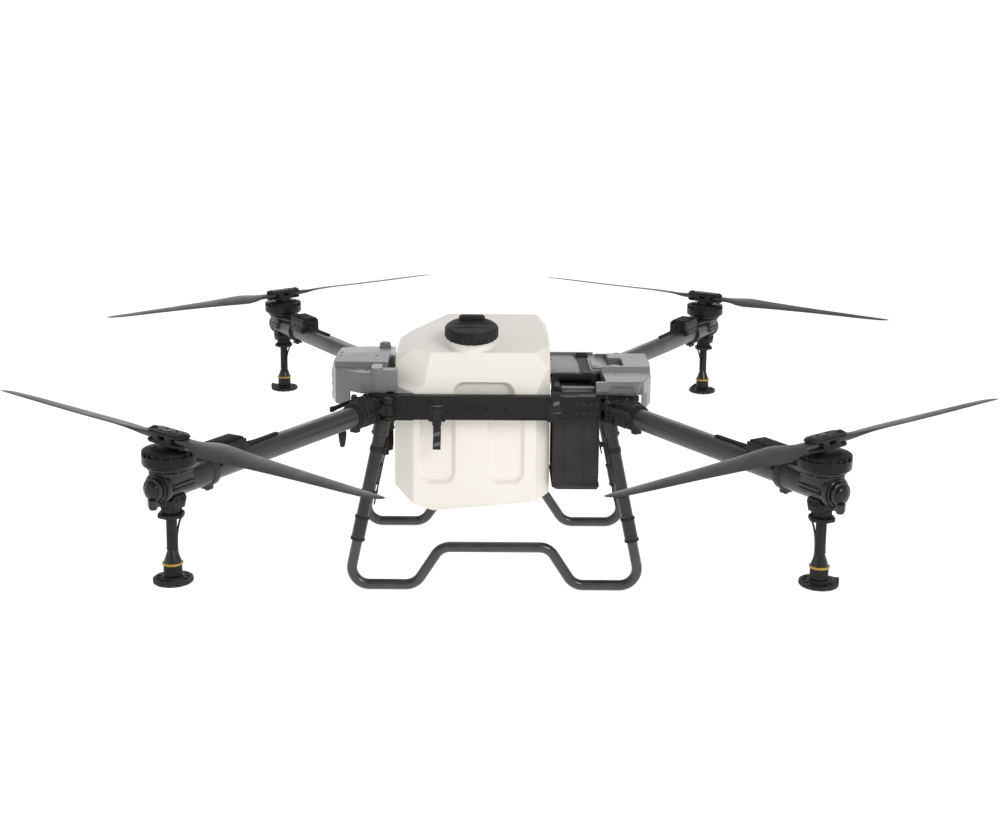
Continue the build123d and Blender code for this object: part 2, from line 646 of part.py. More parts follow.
def frame_room(side):
    """The space under a cover that the cross channel, the plates and the two hinges take."""
    top = BEAM_Z + BEAM_HEIGHT / 2 + SHEET
    with BuildPart() as room:
        with Locations((side * 263, 0, top - 60)):
            Box(2 * (CROSS_X + CROSS_WIDTH + 4 - 263), 232, 120)
        for row in (-1, 1):
            with Locations((side * 300, row * 205, top - 60)):
                Box(118, 180, 120)
    return room.part


with BuildPart() as nose_cover:
    add(cover_solid(NOSE_OUTLINE, NOSE_PROFILE, 0))
    add(cover_solid(NOSE_OUTLINE, NOSE_PROFILE, COVER_WALL), mode=Mode.SUBTRACT)
    # tongue over the corner of the frame, beside the tank
    with Locations((-271, -188.5, 517.5)):
        Box(60, 33, 55)
    with Locations((-271, -188.5, 514.5)):
        Box(54, 27, 55, mode=Mode.SUBTRACT)
    # cap of the antenna on top
    with BuildSketch(Plane.XY.offset(524)):
        with Locations((-293, 146)):
            Circle(17)
    extrude(amount=19)
    add(frame_room(-1), mode=Mode.SUBTRACT)
write(nose_cover.part, "nose_cover")

with BuildPart() as tail_cover:
    add(cover_solid(TAIL_OUTLINE, TAIL_PROFILE, 0))
    add(cover_solid(TAIL_OUTLINE, TAIL_PROFILE, COVER_WALL), mode=Mode.SUBTRACT)
    # deck behind the battery, on the frame
    with Locations((205, 100, DECK_Z)):
        Box(132, 230, 6)
    with Locations((205, 213.5, DECK_Z - 4.5)):
        Box(132, 3, 9)
    add(frame_room(1), mode=Mode.SUBTRACT)
    # room for the rear left arm, which folds across this corner
    with BuildSketch(Plane.XY.offset(COVER_BOTTOM - 20)):
        with BuildLine():
            Polyline([(332, -222), (383, -157), (430, -98), (430, -260), (332, -260)], close=True)
        make_face()
    extrude(amount=BEAM_Z + BEAM_HEIGHT / 2 + SHEET + 1 - COVER_BOTTOM + 20, mode=Mode.SUBTRACT)
write(tail_cover.part, "tail_cover")

with BuildPart() as flight_controller:
    with Locations((-345, 0, 500)):
        Box(80, 110, 36)
    fillet(flight_controller.edges().filter_by(Axis.Z), 6)
    with Locations((-345, 0, 521)):
        Box(60, 60, 6)
write(flight_controller.part, "flight_controller")

# ---------------------------------------------------------------- pump and straps
PUMP_X, PUMP_Y, PUMP_TOP = -278.0, -78.0, BEAM_Z - BEAM_HEIGHT / 2
with BuildPart() as pump:
    with Locations((PUMP_X, PUMP_Y, PUMP_TOP - 30)):
        Box(40, 76, 60)
    with BuildSketch(Plane.XY.offset(PUMP_TOP - 118)):
        with Locations((PUMP_X, PUMP_Y)):
            Circle(19)
    extrude(amount=60)
    with BuildSketch(Plane.XY.offset(PUMP_TOP - 132)):
        with Locations((PUMP_X, PUMP_Y)):
            Circle(8)
    extrude(amount=16)
write(pump.part, "pump")


def buckle(x):
    """A strap buckle plate on the left beam's outer face."""
    with BuildPart() as plate:
        with BuildSketch(Plane.XZ.offset(BEAM_FACE_Y)):
            with Locations((x, BEAM_Z)):
                RectangleRounded(32, 60, 4)
                Rectangle(22, 12, mode=Mode.SUBTRACT)
        extrude(amount=6)
    return plate.part


with BuildPart() as tail_strap:
    with Locations((-141, -BEAM_FACE_Y - 7.5, BEAM_Z - 57)):
        Box(20, 3, 94)
with BuildPart() as upper_strap:
    with Locations((146, -BEAM_FACE_Y - 7.5, BEAM_Z + 10)):
        Box(22, 3, 62)
write(Compound(children=[buckle(-141), buckle(146), tail_strap.part, upper_strap.part]), "straps")
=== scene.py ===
"""Looks for the folding-arm sprayer drone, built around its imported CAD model. Metres, +Z up, nose at -X."""
import json
import math
from math import cos, pi, radians, sin

import bmesh
import bpy
from mathutils import Matrix, Vector


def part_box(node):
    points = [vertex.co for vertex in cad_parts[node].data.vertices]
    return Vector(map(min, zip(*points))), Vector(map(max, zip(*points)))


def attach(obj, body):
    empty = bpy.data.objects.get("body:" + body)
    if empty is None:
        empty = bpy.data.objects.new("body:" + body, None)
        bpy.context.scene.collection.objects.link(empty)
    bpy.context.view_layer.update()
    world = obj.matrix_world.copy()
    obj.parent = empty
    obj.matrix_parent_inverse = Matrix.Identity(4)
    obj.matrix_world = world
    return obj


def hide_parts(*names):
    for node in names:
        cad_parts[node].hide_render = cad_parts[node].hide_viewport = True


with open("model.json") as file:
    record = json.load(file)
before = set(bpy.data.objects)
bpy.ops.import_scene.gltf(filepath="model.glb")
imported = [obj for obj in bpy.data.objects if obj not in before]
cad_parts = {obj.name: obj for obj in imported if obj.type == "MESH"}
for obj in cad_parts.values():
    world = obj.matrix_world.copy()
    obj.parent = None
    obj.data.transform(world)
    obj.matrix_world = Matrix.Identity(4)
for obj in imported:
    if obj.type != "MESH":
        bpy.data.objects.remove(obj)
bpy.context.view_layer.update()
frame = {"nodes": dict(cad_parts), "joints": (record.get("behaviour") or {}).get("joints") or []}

NODES = frame["nodes"]
MM = 0.001

UP, DOWN = (0, 0, 1), (0, 0, -1)
shift = Matrix.Translation
scene = bpy.context.scene


def spin(angle):
    """A turn about z."""
    return Matrix.Rotation(angle, 4, "Z")


# ---------------------------------------------------------------- camera, light and floor


def place_camera():
    """The camera at the photograph's height and angle, looking slightly down at the drone's left side."""
    pitch, yaw, roll = radians(10.28), radians(0.54), -0.0088
    forward = Vector((sin(yaw) * cos(pitch), cos(yaw) * cos(pitch), -sin(pitch)))
    right = Vector((cos(yaw), -sin(yaw), 0))
    down = forward.cross(right)
    across = cos(roll) * right + sin(roll) * down
    upward = sin(roll) * right - cos(roll) * down
    turn = Matrix((across, upward, -forward)).transposed().to_4x4()
    data = bpy.data.cameras.new("camera")
    data.sensor_fit = "HORIZONTAL"
    data.sensor_width = 36.0
    data.lens = 53.557
    data.shift_y = -0.1
    data.clip_end = 60.0
    camera = bpy.data.objects.new("camera", data)
    camera.matrix_world = shift((-0.0252, -3.7386, 1.3449)) @ turn
    scene.collection.objects.link(camera)
    scene.camera = camera


place_camera()


def area_light(name, spot, aim, size, power, tint=(1, 1, 1)):
    """A soft rectangular light at spot, facing aim."""
    data = bpy.data.lights.new(name, "AREA")
    data.shape = "RECTANGLE"
    data.size, data.size_y = size
    data.energy = power
    data.color = tint
    lamp = bpy.data.objects.new(name, data)
    lamp.location = spot
    lamp.rotation_euler = (Vector(aim) - Vector(spot)).to_track_quat("-Z", "Y").to_euler()
    scene.collection.objects.link(lamp)


area_light("key_light", (2.4, -3.6, 3.4), (0, 0, 0.4), (2.6, 2.0), 105)
area_light("fill_light", (-3.6, -2.6, 2.4), (0, 0, 0.4), (2.4, 2.0), 8)
area_light("top_light", (0.2, 0.6, 4.6), (0, 0, 0.3), (3.2, 3.2), 14)
area_light("back_light", (-0.6, 4.6, 2.6), (0, 0, 0.5), (4.0, 1.6), 26)


def studio_world():
    """A white surround at eye level that dims overhead."""
    world = bpy.data.worlds.new("studio")
    world.use_nodes = True
    tree = world.node_tree
    where = tree.nodes.new("ShaderNodeTexCoord")
    parts = tree.nodes.new("ShaderNodeSeparateXYZ")
    span = tree.nodes.new("ShaderNodeMapRange")
    for label, value in (("From Min", 0.18), ("From Max", 0.5), ("To Min", 1.02), ("To Max", 0.36)):
        span.inputs[label].default_value = value
    tree.links.new(where.outputs["Generated"], parts.inputs["Vector"])
    tree.links.new(parts.outputs["Z"], span.inputs["Value"])
    tree.links.new(span.outputs["Result"], tree.nodes["Background"].inputs["Strength"])
    tree.nodes["Background"].inputs["Color"].default_value = (1, 1, 1, 1)
    scene.world = world


studio_world()
# plain sRGB, so that white stays white
scene.view_settings.view_transform = "Standard"


# ---------------------------------------------------------------- materials
EVEN = (1, 1, 1)
MAT = {}


def tone(color):
    """A colour socket's value from three numbers, or from one for a grey."""
    return (*color, 1) if isinstance(color, tuple) else (color, color, color, 1)


def shader(material):
    """The material's Principled shader."""
    return material.node_tree.nodes["Principled BSDF"]


def new_material(name, color, rough, metal=0.0, coat=0.0, coat_rough=0.1, specular=0.5):
    """A Principled material, ready for the surface detail that follows."""
    material = bpy.data.materials.new(name)
    material.use_nodes = True
    for label, value in (("Base Color", tone(color)), ("Roughness", rough), ("Metallic", metal),
            ("Coat Weight", coat), ("Coat Roughness", coat_rough), ("Specular IOR Level", specular)):
        shader(material).inputs[label].default_value = value
    return material


def node(material, kind, **settings):
    """Adds one shader node; settings are properties, or sockets where the name is a socket's."""
    made = material.node_tree.nodes.new(kind)
    for key, value in settings.items():
        label = key.replace("_", " ")
        if label in made.inputs:
            made.inputs[label].default_value = value
        else:
            setattr(made, key, value)
    return made


def wire(material, source, target):
    """Links two sockets."""
    material.node_tree.links.new(source, target)


def coords(material, stretch=EVEN):
    """Object coordinates in metres, stretched."""
    where = node(material, "ShaderNodeTexCoord")
    mapping = node(material, "ShaderNodeMapping")
    mapping.inputs["Scale"].default_value = stretch
    wire(material, where.outputs["Object"], mapping.inputs["Vector"])
    return mapping.outputs["Vector"]


def noise(material, scale, stretch=EVEN, **settings):
    """Noise over the piece."""
    made = node(material, "ShaderNodeTexNoise", Scale=scale, **settings)
    wire(material, coords(material, stretch), made.inputs["Vector"])
    return made.outputs["Fac"]


def tones(material, source, dark, light, low=0.0, high=1.0):
    """Base colour between two tones as source goes from low to high."""
    ramp = node(material, "ShaderNodeValToRGB")
    for step, spot, color in zip(ramp.color_ramp.elements, (low, high), (dark, light)):
        step.position, step.color = spot, tone(color)
    wire(material, source, ramp.inputs["Fac"])
    wire(material, ramp.outputs["Color"], shader(material).inputs["Base Color"])


def mottle(material, dark, light, scale, stretch=EVEN, low=0.35, high=0.65):
    """Base colour that wanders between two tones."""
    tones(material, noise(material, scale, stretch, Detail=5.0, Roughness=0.6), dark, light, low, high)


def worn_edges(material, bare, amount=0.5):
    """Lightens worn edges, broken up by noise, over whatever feeds the base colour."""
    flat = node(material, "ShaderNodeNewGeometry")
    soft = node(material, "ShaderNodeBevel", samples=4, Radius=0.0011)
    turn = node(material, "ShaderNodeVectorMath", operation="DOT_PRODUCT")
    wire(material, flat.outputs["Normal"], turn.inputs[0])
    wire(material, soft.outputs["Normal"], turn.inputs[1])
    edge = node(material, "ShaderNodeMapRange", From_Min=0.985, From_Max=0.80)
    wire(material, turn.outputs["Value"], edge.inputs["Value"])
    broken = node(material, "ShaderNodeMapRange", From_Min=0.38, From_Max=0.66, To_Max=amount)
    wire(material, noise(material, 55.0, Detail=4.0), broken.inputs["Value"])
    both = node(material, "ShaderNodeMath", operation="MULTIPLY")
    wire(material, edge.outputs["Result"], both.inputs[0])
    wire(material, broken.outputs["Result"], both.inputs[1])
    mix = node(material, "ShaderNodeMix", data_type="RGBA")
    base = shader(material).inputs["Base Color"]
    # a colour mix has its factor at input 0, its colours at 6 and 7, and its result at output 2
    wire(material, base.links[0].from_socket, mix.inputs[6])
    mix.inputs[7].default_value = tone(bare)
    wire(material, both.outputs["Value"], mix.inputs[0])
    wire(material, mix.outputs[2], base)


def bump(material, height, strength, distance):
    """Bump from a height socket, chained after any bump already there."""
    normal = shader(material).inputs["Normal"]
    made = node(material, "ShaderNodeBump", Strength=strength, Distance=distance)
    wire(material, height, made.inputs["Height"])
    if normal.links:
        wire(material, normal.links[0].from_socket, made.inputs["Normal"])
    wire(material, made.outputs["Normal"], normal)


def grain(material, scale, strength, distance=0.0004, stretch=EVEN):
    """Fine noise bump."""
    bump(material, noise(material, scale, stretch, Detail=3.0), strength, distance)


def rough_wander(material, low, high, scale, stretch=EVEN):
    """Roughness that wanders between two values."""
    span = node(material, "ShaderNodeMapRange", From_Min=0.3, From_Max=0.7, To_Min=low, To_Max=high)
    wire(material, noise(material, scale, stretch, Detail=4.0), span.inputs["Value"])
    wire(material, span.outputs["Result"], shader(material).inputs["Roughness"])


def finish(key, name, color, rough, mottles=None, grains=(), wander=None, worn=None, **settings):
    """A finish by name: mottled colour, fine bumps, wandering roughness and worn edges over a base."""
    m = MAT[key] = new_material(name, color, rough, **settings)
    if mottles:
        mottle(m, *mottles)
    for one in grains:
        grain(m, *one)
    if wander:
        rough_wander(m, *wander)
    if worn:
        worn_edges(m, *worn)
    return m


def waves(material, direction, scale, place=None):
    """Parallel waves over the piece."""
    made = node(material, "ShaderNodeTexWave", bands_direction=direction, Scale=scale)
    wire(material, place or coords(material), made.inputs["Vector"])
    return made.outputs["Fac"]


def make_finishes():
    """Every surface finish."""
    finish("tank", "tank_plastic", (0.85, 0.81, 0.75), 0.42, ((0.83, 0.785, 0.715), (0.87, 0.835, 0.775),
            3.5, EVEN, 0.3, 0.7), [(420.0, 0.10, 0.0003), (14.0, 0.08, 0.002)], (0.34, 0.48, 9.0),
            specular=0.35)
    finish("black", "black_plastic", 0.013, 0.5, (0.010, (0.020, 0.0195, 0.019), 26.0), [(900.0, 0.35)],
            (0.42, 0.6, 24.0), ((0.07, 0.068, 0.065), 0.5), specular=0.22)
    finish("battery", "battery_plastic", (0.024, 0.022, 0.020), 0.55, ((0.019, 0.0175, 0.016),
            (0.030, 0.0275, 0.025), 18.0), [(1400.0, 0.5)], (0.46, 0.66, 16.0), ((0.11, 0.105, 0.10), 0.5),
            specular=0.3)
    finish("cover", "cover_gloss", (0.165, 0.165, 0.167), 0.34, ((0.155, 0.155, 0.157),
            (0.185, 0.185, 0.188), 7.0), [(30.0, 0.05, 0.001)], (0.24, 0.4, 12.0), (0.4, 0.5), coat=0.12,
            coat_rough=0.14, specular=0.3)
    finish("deck", "deck_grey", (0.28, 0.28, 0.275), 0.5, ((0.255, 0.255, 0.25), (0.305, 0.305, 0.30),
            11.0), [(600.0, 0.25)])
    finish("coat", "black_coat", (0.015, 0.015, 0.016), 0.34, ((0.012, 0.012, 0.013), (0.022, 0.022, 0.023),
            20.0), [(750.0, 0.25, 0.0003)], (0.28, 0.45, 18.0), (0.12, 0.5), coat=0.2, coat_rough=0.2,
            specular=0.3)
    finish("skid", "skid_coat", (0.022, 0.022, 0.023), 0.26, ((0.018, 0.018, 0.019), (0.030, 0.030, 0.031),
            20.0), [(750.0, 0.2, 0.0003)], (0.2, 0.36, 18.0), (0.12, 0.5), coat=0.5, coat_rough=0.12,
            specular=0.5)
    finish("frame", "frame_aluminium", (0.012, 0.0118, 0.0114), 0.46, ((0.009, 0.009, 0.0088),
            (0.017, 0.0166, 0.016), 14.0, (0.3, 3, 3)), [(300.0, 0.18, 0.0003, (0.15, 2, 2))],
            (0.36, 0.54, 20.0, (0.3, 2, 2)), (0.16, 0.6), metal=0.1, specular=0.18)
    finish("cast", "cast_aluminium", (0.016, 0.0155, 0.015), 0.48, (0.010, (0.024, 0.023, 0.022), 40.0),
            [(520.0, 0.45, 0.0005)], (0.36, 0.58, 34.0), ((0.17, 0.165, 0.16), 0.65), metal=0.2,
            specular=0.22)
    finish("bolt", "dark_steel", (0.10, 0.098, 0.095), 0.36, ((0.075, 0.073, 0.07), (0.13, 0.128, 0.125),
            55.0), [(700.0, 0.25, 0.0002)], (0.28, 0.46, 45.0), metal=0.9)
    finish("blade", "blade_nylon", (0.028, 0.028, 0.029), 0.4, ((0.023, 0.023, 0.024),
            (0.036, 0.036, 0.037), 12.0), [(800.0, 0.3, 0.0003)], (0.34, 0.5, 10.0), (0.11, 0.5), coat=0.1,
            coat_rough=0.3, specular=0.45)
    finish("rotor", "rotor_aluminium", (0.014, 0.013, 0.012), 0.36, ((0.010, 0.0095, 0.009),
            (0.019, 0.0175, 0.016), 30.0), [(640.0, 0.22, 0.0003)], (0.28, 0.46, 26.0),
            ((0.2, 0.19, 0.18), 0.6), metal=0.35, specular=0.2)
    finish("gloss", "gloss_black", (0.010, 0.010, 0.011), 0.2, ((0.008, 0.008, 0.009),
            (0.015, 0.015, 0.016), 22.0), (), (0.14, 0.3, 30.0), coat=0.4, coat_rough=0.06, specular=0.25)
    finish("yellow", "yellow_ring", (0.42, 0.27, 0.03), 0.4, ((0.36, 0.23, 0.02), (0.48, 0.31, 0.045),
            40.0), [(700.0, 0.2, 0.0003)])
    finish("amber", "amber_ring", (0.13, 0.085, 0.012), 0.5, ((0.08, 0.055, 0.01), (0.18, 0.115, 0.016),
            55.0))
    finish("rubber", "rubber", 0.013, 0.7, (0.010, (0.019, 0.019, 0.0185), 50.0), [(500.0, 0.5, 0.0005)],
            specular=0.3)

    # twill: two diagonal waves crossed
    m = finish("carbon", "carbon_tube", (0.022, 0.022, 0.023), 0.36, coat=0.3, coat_rough=0.2, specular=0.4)
    flip = node(m, "ShaderNodeMapping")
    flip.inputs["Scale"].default_value = (-1, 1, 1)
    spot = coords(m)
    wire(m, spot, flip.inputs["Vector"])
    weave = node(m, "ShaderNodeMath", operation="MULTIPLY")
    wire(m, waves(m, "DIAGONAL", 105.0, spot), weave.inputs[0])
    wire(m, waves(m, "DIAGONAL", 105.0, flip.outputs["Vector"]), weave.inputs[1])
    tones(m, weave.outputs["Value"], (0.020, 0.020, 0.0205), (0.044, 0.044, 0.045))
    bump(m, weave.outputs["Value"], 0.15, 0.0002)
    rough_wander(m, 0.3, 0.46, 14.0)

    m = finish("copper", "copper_winding", (0.26, 0.10, 0.035), 0.35, metal=0.9)
    bump(m, waves(m, "Z", 420.0), 0.6, 0.0006)
    mottle(m, (0.19, 0.075, 0.025), (0.32, 0.13, 0.05), 60.0)

    # webbing: ribs across the strap
    m = finish("webbing", "webbing", (0.016, 0.016, 0.017), 0.78, specular=0.25)
    ribs = waves(m, "DIAGONAL", 170.0)
    bump(m, ribs, 0.8, 0.0006)
    tones(m, ribs, (0.009, 0.009, 0.0095), (0.026, 0.026, 0.027))
    shader(m).inputs["Sheen Weight"].default_value = 0.2

    m = finish("lens", "lamp_lens", (0.008, 0.009, 0.009), 0.14, ((0.006, 0.007, 0.007),
            (0.014, 0.016, 0.016), 45.0), coat=0.15, coat_rough=0.05, specular=0.2)
    cells = node(m, "ShaderNodeTexVoronoi", Scale=260.0)
    wire(m, coords(m), cells.inputs["Vector"])
    bump(m, cells.outputs["Distance"], 0.2, 0.0005)

    # the floor gives off a little light of its own, as a lit white sweep does
    m = finish("floor", "studio_floor", 0.42, 0.9, (0.41, 0.43, 1.2), specular=0.0)
    shader(m).inputs["Emission Color"].default_value = tone(1.0)
    shader(m).inputs["Emission Strength"].default_value = 0.88


make_finishes()

# ---------------------------------------------------------------- mesh building, in millimetres


def prism(bm, outline, low, high, at=Matrix(), bevel=0.0, steps=2):
    """A prism over outline, from low to high along its frame's z, with every edge bevelled."""
    count = len(outline)
    bottom = [bm.verts.new(at @ Vector((x, y, low))) for x, y in outline]
    top = [bm.verts.new(at @ Vector((x, y, high))) for x, y in outline]
    faces = [bm.faces.new(bottom[::-1]), bm.faces.new(top)]
    for i in range(count):
        j = (i + 1) % count
        faces.append(bm.faces.new((bottom[i], bottom[j], top[j], top[i])))
    area = sum(outline[i][0] * outline[(i + 1) % count][1] - outline[(i + 1) % count][0] * outline[i][1]
            for i in range(count))
    if (area < 0) != (at.determinant() < 0):
        bmesh.ops.reverse_faces(bm, faces=faces)
    if bevel:
        edges = list({edge for face in faces for edge in face.edges})
        bmesh.ops.bevel(bm, geom=edges, offset=bevel, offset_type="OFFSET", segments=steps, profile=0.5,
                affect="EDGES", clamp_overlap=True)


def box(bm, center, size, at=Matrix(), bevel=0.0, steps=2):
    """A box round center."""
    half_x, half_y = size[0] / 2, size[1] / 2
    outline = rect(-half_x, -half_y, half_x, half_y)
    prism(bm, outline, -size[2] / 2, size[2] / 2, at @ shift(center), bevel, steps)


def lathe(bm, profile, at=Matrix(), steps=48, swell=None):
    """A turned shape from (radius, z) points about its frame's z. swell(angle, i) scales the radius."""
    rings = []
    for i, (radius, z) in enumerate(profile):
        if radius <= 0:
            rings.append([bm.verts.new(at @ Vector((0, 0, z)))])
            continue
        ring = []
        for k in range(steps):
            angle = 2 * pi * k / steps
            grown = radius * (swell(angle, i) if swell else 1)
            ring.append(bm.verts.new(at @ Vector((grown * cos(angle), grown * sin(angle), z))))
        rings.append(ring)
    for a, b in zip(rings, rings[1:]):
        for k in range(steps):
            n = (k + 1) % steps
            if len(a) == 1 and len(b) == 1:
                break
            if len(a) == 1:
                bm.faces.new((a[0], b[n], b[k]))
            elif len(b) == 1:
                bm.faces.new((a[k], a[n], b[0]))
            else:
                bm.faces.new((a[k], a[n], b[n], b[k]))


def closed(profile):
    """The profile of a ring-shaped turned part, closed on itself."""
    return profile + profile[:1]


def along(start, end):
    """A frame at start whose z points to end."""
    start, end = Vector(start), Vector(end)
    return shift(start) @ (end - start).to_track_quat("Z", "Y").to_matrix().to_4x4()


def rod(bm, start, end, radius, round_off=0.8, steps=24, at=Matrix()):
    """A round bar with softened ends."""
    length = (Vector(end) - Vector(start)).length
    edge = min(round_off, radius * 0.45, length * 0.45)
    profile = [(0, 0), (radius - edge, 0), (radius - edge * 0.3, edge * 0.3), (radius, edge),
            (radius, length - edge), (radius - edge * 0.3, length - edge * 0.3), (radius - edge, length),
            (0, length)]
    lathe(bm, profile, at @ along(start, end), steps)


def bolt(bm, spot, out, radius=3.2, height=2.4, at=Matrix()):
    """A socket cap screw's head with a hexagonal recess, facing out."""
    frame_at = at @ along(spot, Vector(spot) + Vector(out))
    profile = [(radius, -0.3), (radius, height * 0.75), (radius * 0.88, height), (radius * 0.55, height)]
    lathe(bm, profile, frame_at, 18)
    ring = [(radius * 0.55, height), (radius * 0.5, height * 0.35), (0, height * 0.35)]
    lathe(bm, ring, frame_at, 6)


def add_skin(bm, rings):
    """A closed skin through rings of vertices of equal count."""
    count = len(rings[0])
    for a, b in zip(rings, rings[1:]):
        for k in range(count):
            n = (k + 1) % count
            bm.faces.new((a[k], a[n], b[n], b[k]))
    bm.faces.new(rings[0][::-1])
    bm.faces.new(rings[-1])


def tube(bm, points, radius, at=Matrix(), sides=12, flat=1.0):
    """A swept bar through points, with closed ends; flat squeezes it along its second axis."""
    points = [Vector(p) for p in points]
    rings = []
    side = None
    for i, point in enumerate(points):
        ahead = points[min(i + 1, len(points) - 1)] - points[max(i - 1, 0)]
        ahead.normalize()
        if side is None:
            side = ahead.orthogonal().normalized()
        side = (side - ahead * side.dot(ahead)).normalized()
        other = ahead.cross(side)
        rings.append([bm.verts.new(at @ (point + radius * (cos(t) * side + flat * sin(t) * other)))
                for t in (2 * pi * k / sides for k in range(sides))])
    add_skin(bm, rings)


def smooth_path(points, steps=6):
    """Catmull-Rom points through a route."""
    points = [Vector(p) for p in points]
    padded = [points[0] * 2 - points[1], *points, points[-1] * 2 - points[-2]]
    path = []
    for a, b, c, d in zip(padded, padded[1:], padded[2:], padded[3:]):
        for k in range(steps):
            t = k / steps
            path.append(0.5 * (2 * b + (c - a) * t + (2 * a - 5 * b + 4 * c - d) * t * t
                    + (3 * b - a - 3 * c + d) * t ** 3))
    return [*path, points[-1]]


def rounded(outline, radius, steps=4):
    """An outline with its corners rounded."""
    made = []
    count = len(outline)
    for i in range(count):
        before, corner, after = (Vector(outline[(i + k) % count]) for k in (-1, 0, 1))
        reach = min(radius, (before - corner).length * 0.45, (after - corner).length * 0.45)
        start = corner + (before - corner).normalized() * reach
        end = corner + (after - corner).normalized() * reach
        for k in range(steps + 1):
            t = k / steps
            made.append(tuple((1 - t) ** 2 * start + 2 * t * (1 - t) * corner + t * t * end))
    return made


def rect(x0, y0, x1, y1, radius=0, steps=4):
    """A rectangle's outline from corner to corner, with rounded corners if radius is given."""
    outline = [(x0, y0), (x1, y0), (x1, y1), (x0, y1)]
    return rounded(outline, radius, steps) if radius else outline


def set_edges(mesh, angle):
    """Smooth faces, with edges sharper than angle kept crisp."""
    bm = bmesh.new()
    bm.from_mesh(mesh)
    for face in bm.faces:
        face.smooth = True
    for edge in bm.edges:
        edge.smooth = len(edge.link_faces) == 2 and edge.calc_face_angle(0) < radians(angle)
    bm.to_mesh(mesh)
    bm.free()


def to_mesh(bm, name, angle=32):
    """A mesh in metres from a bmesh in millimetres."""
    bmesh.ops.recalc_face_normals(bm, faces=bm.faces)
    bmesh.ops.scale(bm, vec=(MM, MM, MM), verts=bm.verts)
    mesh = bpy.data.meshes.new(name)
    bm.to_mesh(mesh)
    bm.free()
    set_edges(mesh, angle)
    return mesh


def ready(source, name):
    """A finished mesh from a mesh, a bmesh, or a bmesh with its edge angle."""
    if isinstance(source, bpy.types.Mesh):
        return source
    return to_mesh(source[0], name, source[1]) if isinstance(source, tuple) else to_mesh(source, name)


def put(name, source, material, body, at=Matrix(), replaces=()):
    """A piece, placed, finished and riding on its body."""
    mesh = ready(source, name)
    piece = bpy.data.objects.new(name, mesh)
    scene.collection.objects.link(piece)
    if not mesh.materials:
        mesh.materials.append(MAT[material])
    piece.matrix_world = at
    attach(piece, body)
    if replaces:
        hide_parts(*replaces)
    return piece


def solidify(bm, name, voxel, rounds=4, cutters=(), angle=60):
    """Fuses a bmesh of overlapping closed solids into one moulded skin with softened edges."""
    base = bpy.data.objects.new(name, to_mesh(bm, name))
    scene.collection.objects.link(base)
    for i, cutter in enumerate(cutters):
        tool = bpy.data.objects.new(f"{name}_cut{i}", to_mesh(cutter, f"{name}_cut{i}"))
        scene.collection.objects.link(tool)
        cut = base.modifiers.new("cut", "BOOLEAN")
        cut.operation, cut.solver, cut.object = "DIFFERENCE", "EXACT", tool
        cut.use_self = True
    remesh = base.modifiers.new("remesh", "REMESH")
    remesh.mode, remesh.voxel_size, remesh.adaptivity = "VOXEL", voxel * MM, 0
    soften = base.modifiers.new("soften", "SMOOTH")
    soften.factor, soften.iterations = 0.5, rounds
    bpy.context.view_layer.update()
    made = base.evaluated_get(bpy.context.evaluated_depsgraph_get())
    mesh = bpy.data.meshes.new_from_object(made)
    for tool in [m.object for m in base.modifiers if m.type == "BOOLEAN"]:
        bpy.data.objects.remove(tool)
    bpy.data.objects.remove(base)
    mesh.name = name
    set_edges(mesh, angle)
    return mesh

# ---------------------------------------------------------------- layout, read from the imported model
JOINTS = {joint["name"]: joint for joint in frame["joints"]}
CORNERS = ("front_left", "rear_left", "front_right", "rear_right")
PIVOT_Y = 44.0


def box_mm(name):
    """A CAD node's box in millimetres."""
    low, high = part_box(name)
    return low / MM, high / MM


def arm_frame(corner):
    """The arm's frame in metres, x out along the tube and z up, and the motor's distance in millimetres."""
    pivot = Vector(JOINTS[f"arm_fold_{corner}"]["pos_m"])
    motor = Vector(JOINTS[f"prop_spin_{corner}"]["pos_m"])
    gap = (motor - pivot).xy
    reach = math.sqrt(gap.length_squared - (PIVOT_Y * MM) ** 2)
    angle = math.atan2(gap.y, gap.x) + math.atan2(PIVOT_Y * MM, reach)
    low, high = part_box(f"arm_tube_{corner}")
    origin = Vector((motor.x - reach * cos(angle), motor.y - reach * sin(angle), (low.z + high.z) / 2))
    return shift(origin) @ spin(angle), reach / MM


def propeller_frame(corner):
    """The propeller's frame in metres: z up from the tube's level, x towards blade a's pin."""
    motor = Vector(JOINTS[f"prop_spin_{corner}"]["pos_m"])
    pin = Vector(JOINTS[f"blade_a_fold_{corner}"]["pos_m"])
    low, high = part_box(f"arm_tube_{corner}")
    angle = math.atan2(pin.y - motor.y, pin.x - motor.x)
    return shift((motor.x, motor.y, (low.z + high.z) / 2)) @ spin(angle)


ARM = {corner: arm_frame(corner)[0] for corner in CORNERS}
REACH = arm_frame(CORNERS[0])[1]
PROP = {corner: propeller_frame(corner) for corner in CORNERS}
HAND = {corner: 1 if corner in ("front_left", "rear_right") else -1 for corner in CORNERS}
PROP_Z = 96.0
AT_MOTOR = shift((REACH * MM, 0, 0))


def put_arms(stem, source, material, body="arm", replaces=None, at=Matrix(), frames=ARM):
    """One copy of a piece at each corner, drawn in the arm's frame or in the propeller's."""
    mesh = ready(source, stem)
    for corner in CORNERS:
        hides = (f"{replaces}_{corner}",) if replaces else ()
        put(f"{stem}_{corner}", mesh, material, f"{body}_{corner}", frames[corner] @ at, replaces=hides)


def put_cast(stem, source, material, replaces=None):
    """One copy at each corner of a piece fixed to the airframe; the first stands for the node replaced."""
    mesh = ready(source, stem)
    for corner in CORNERS:
        hides = (replaces,) if replaces and corner == CORNERS[0] else ()
        put(f"{stem}_{corner}", mesh, material, "airframe", ARM[corner], replaces=hides)


# a quarter turn about x
ON_EDGE = Matrix.Rotation(pi / 2, 4, "X")
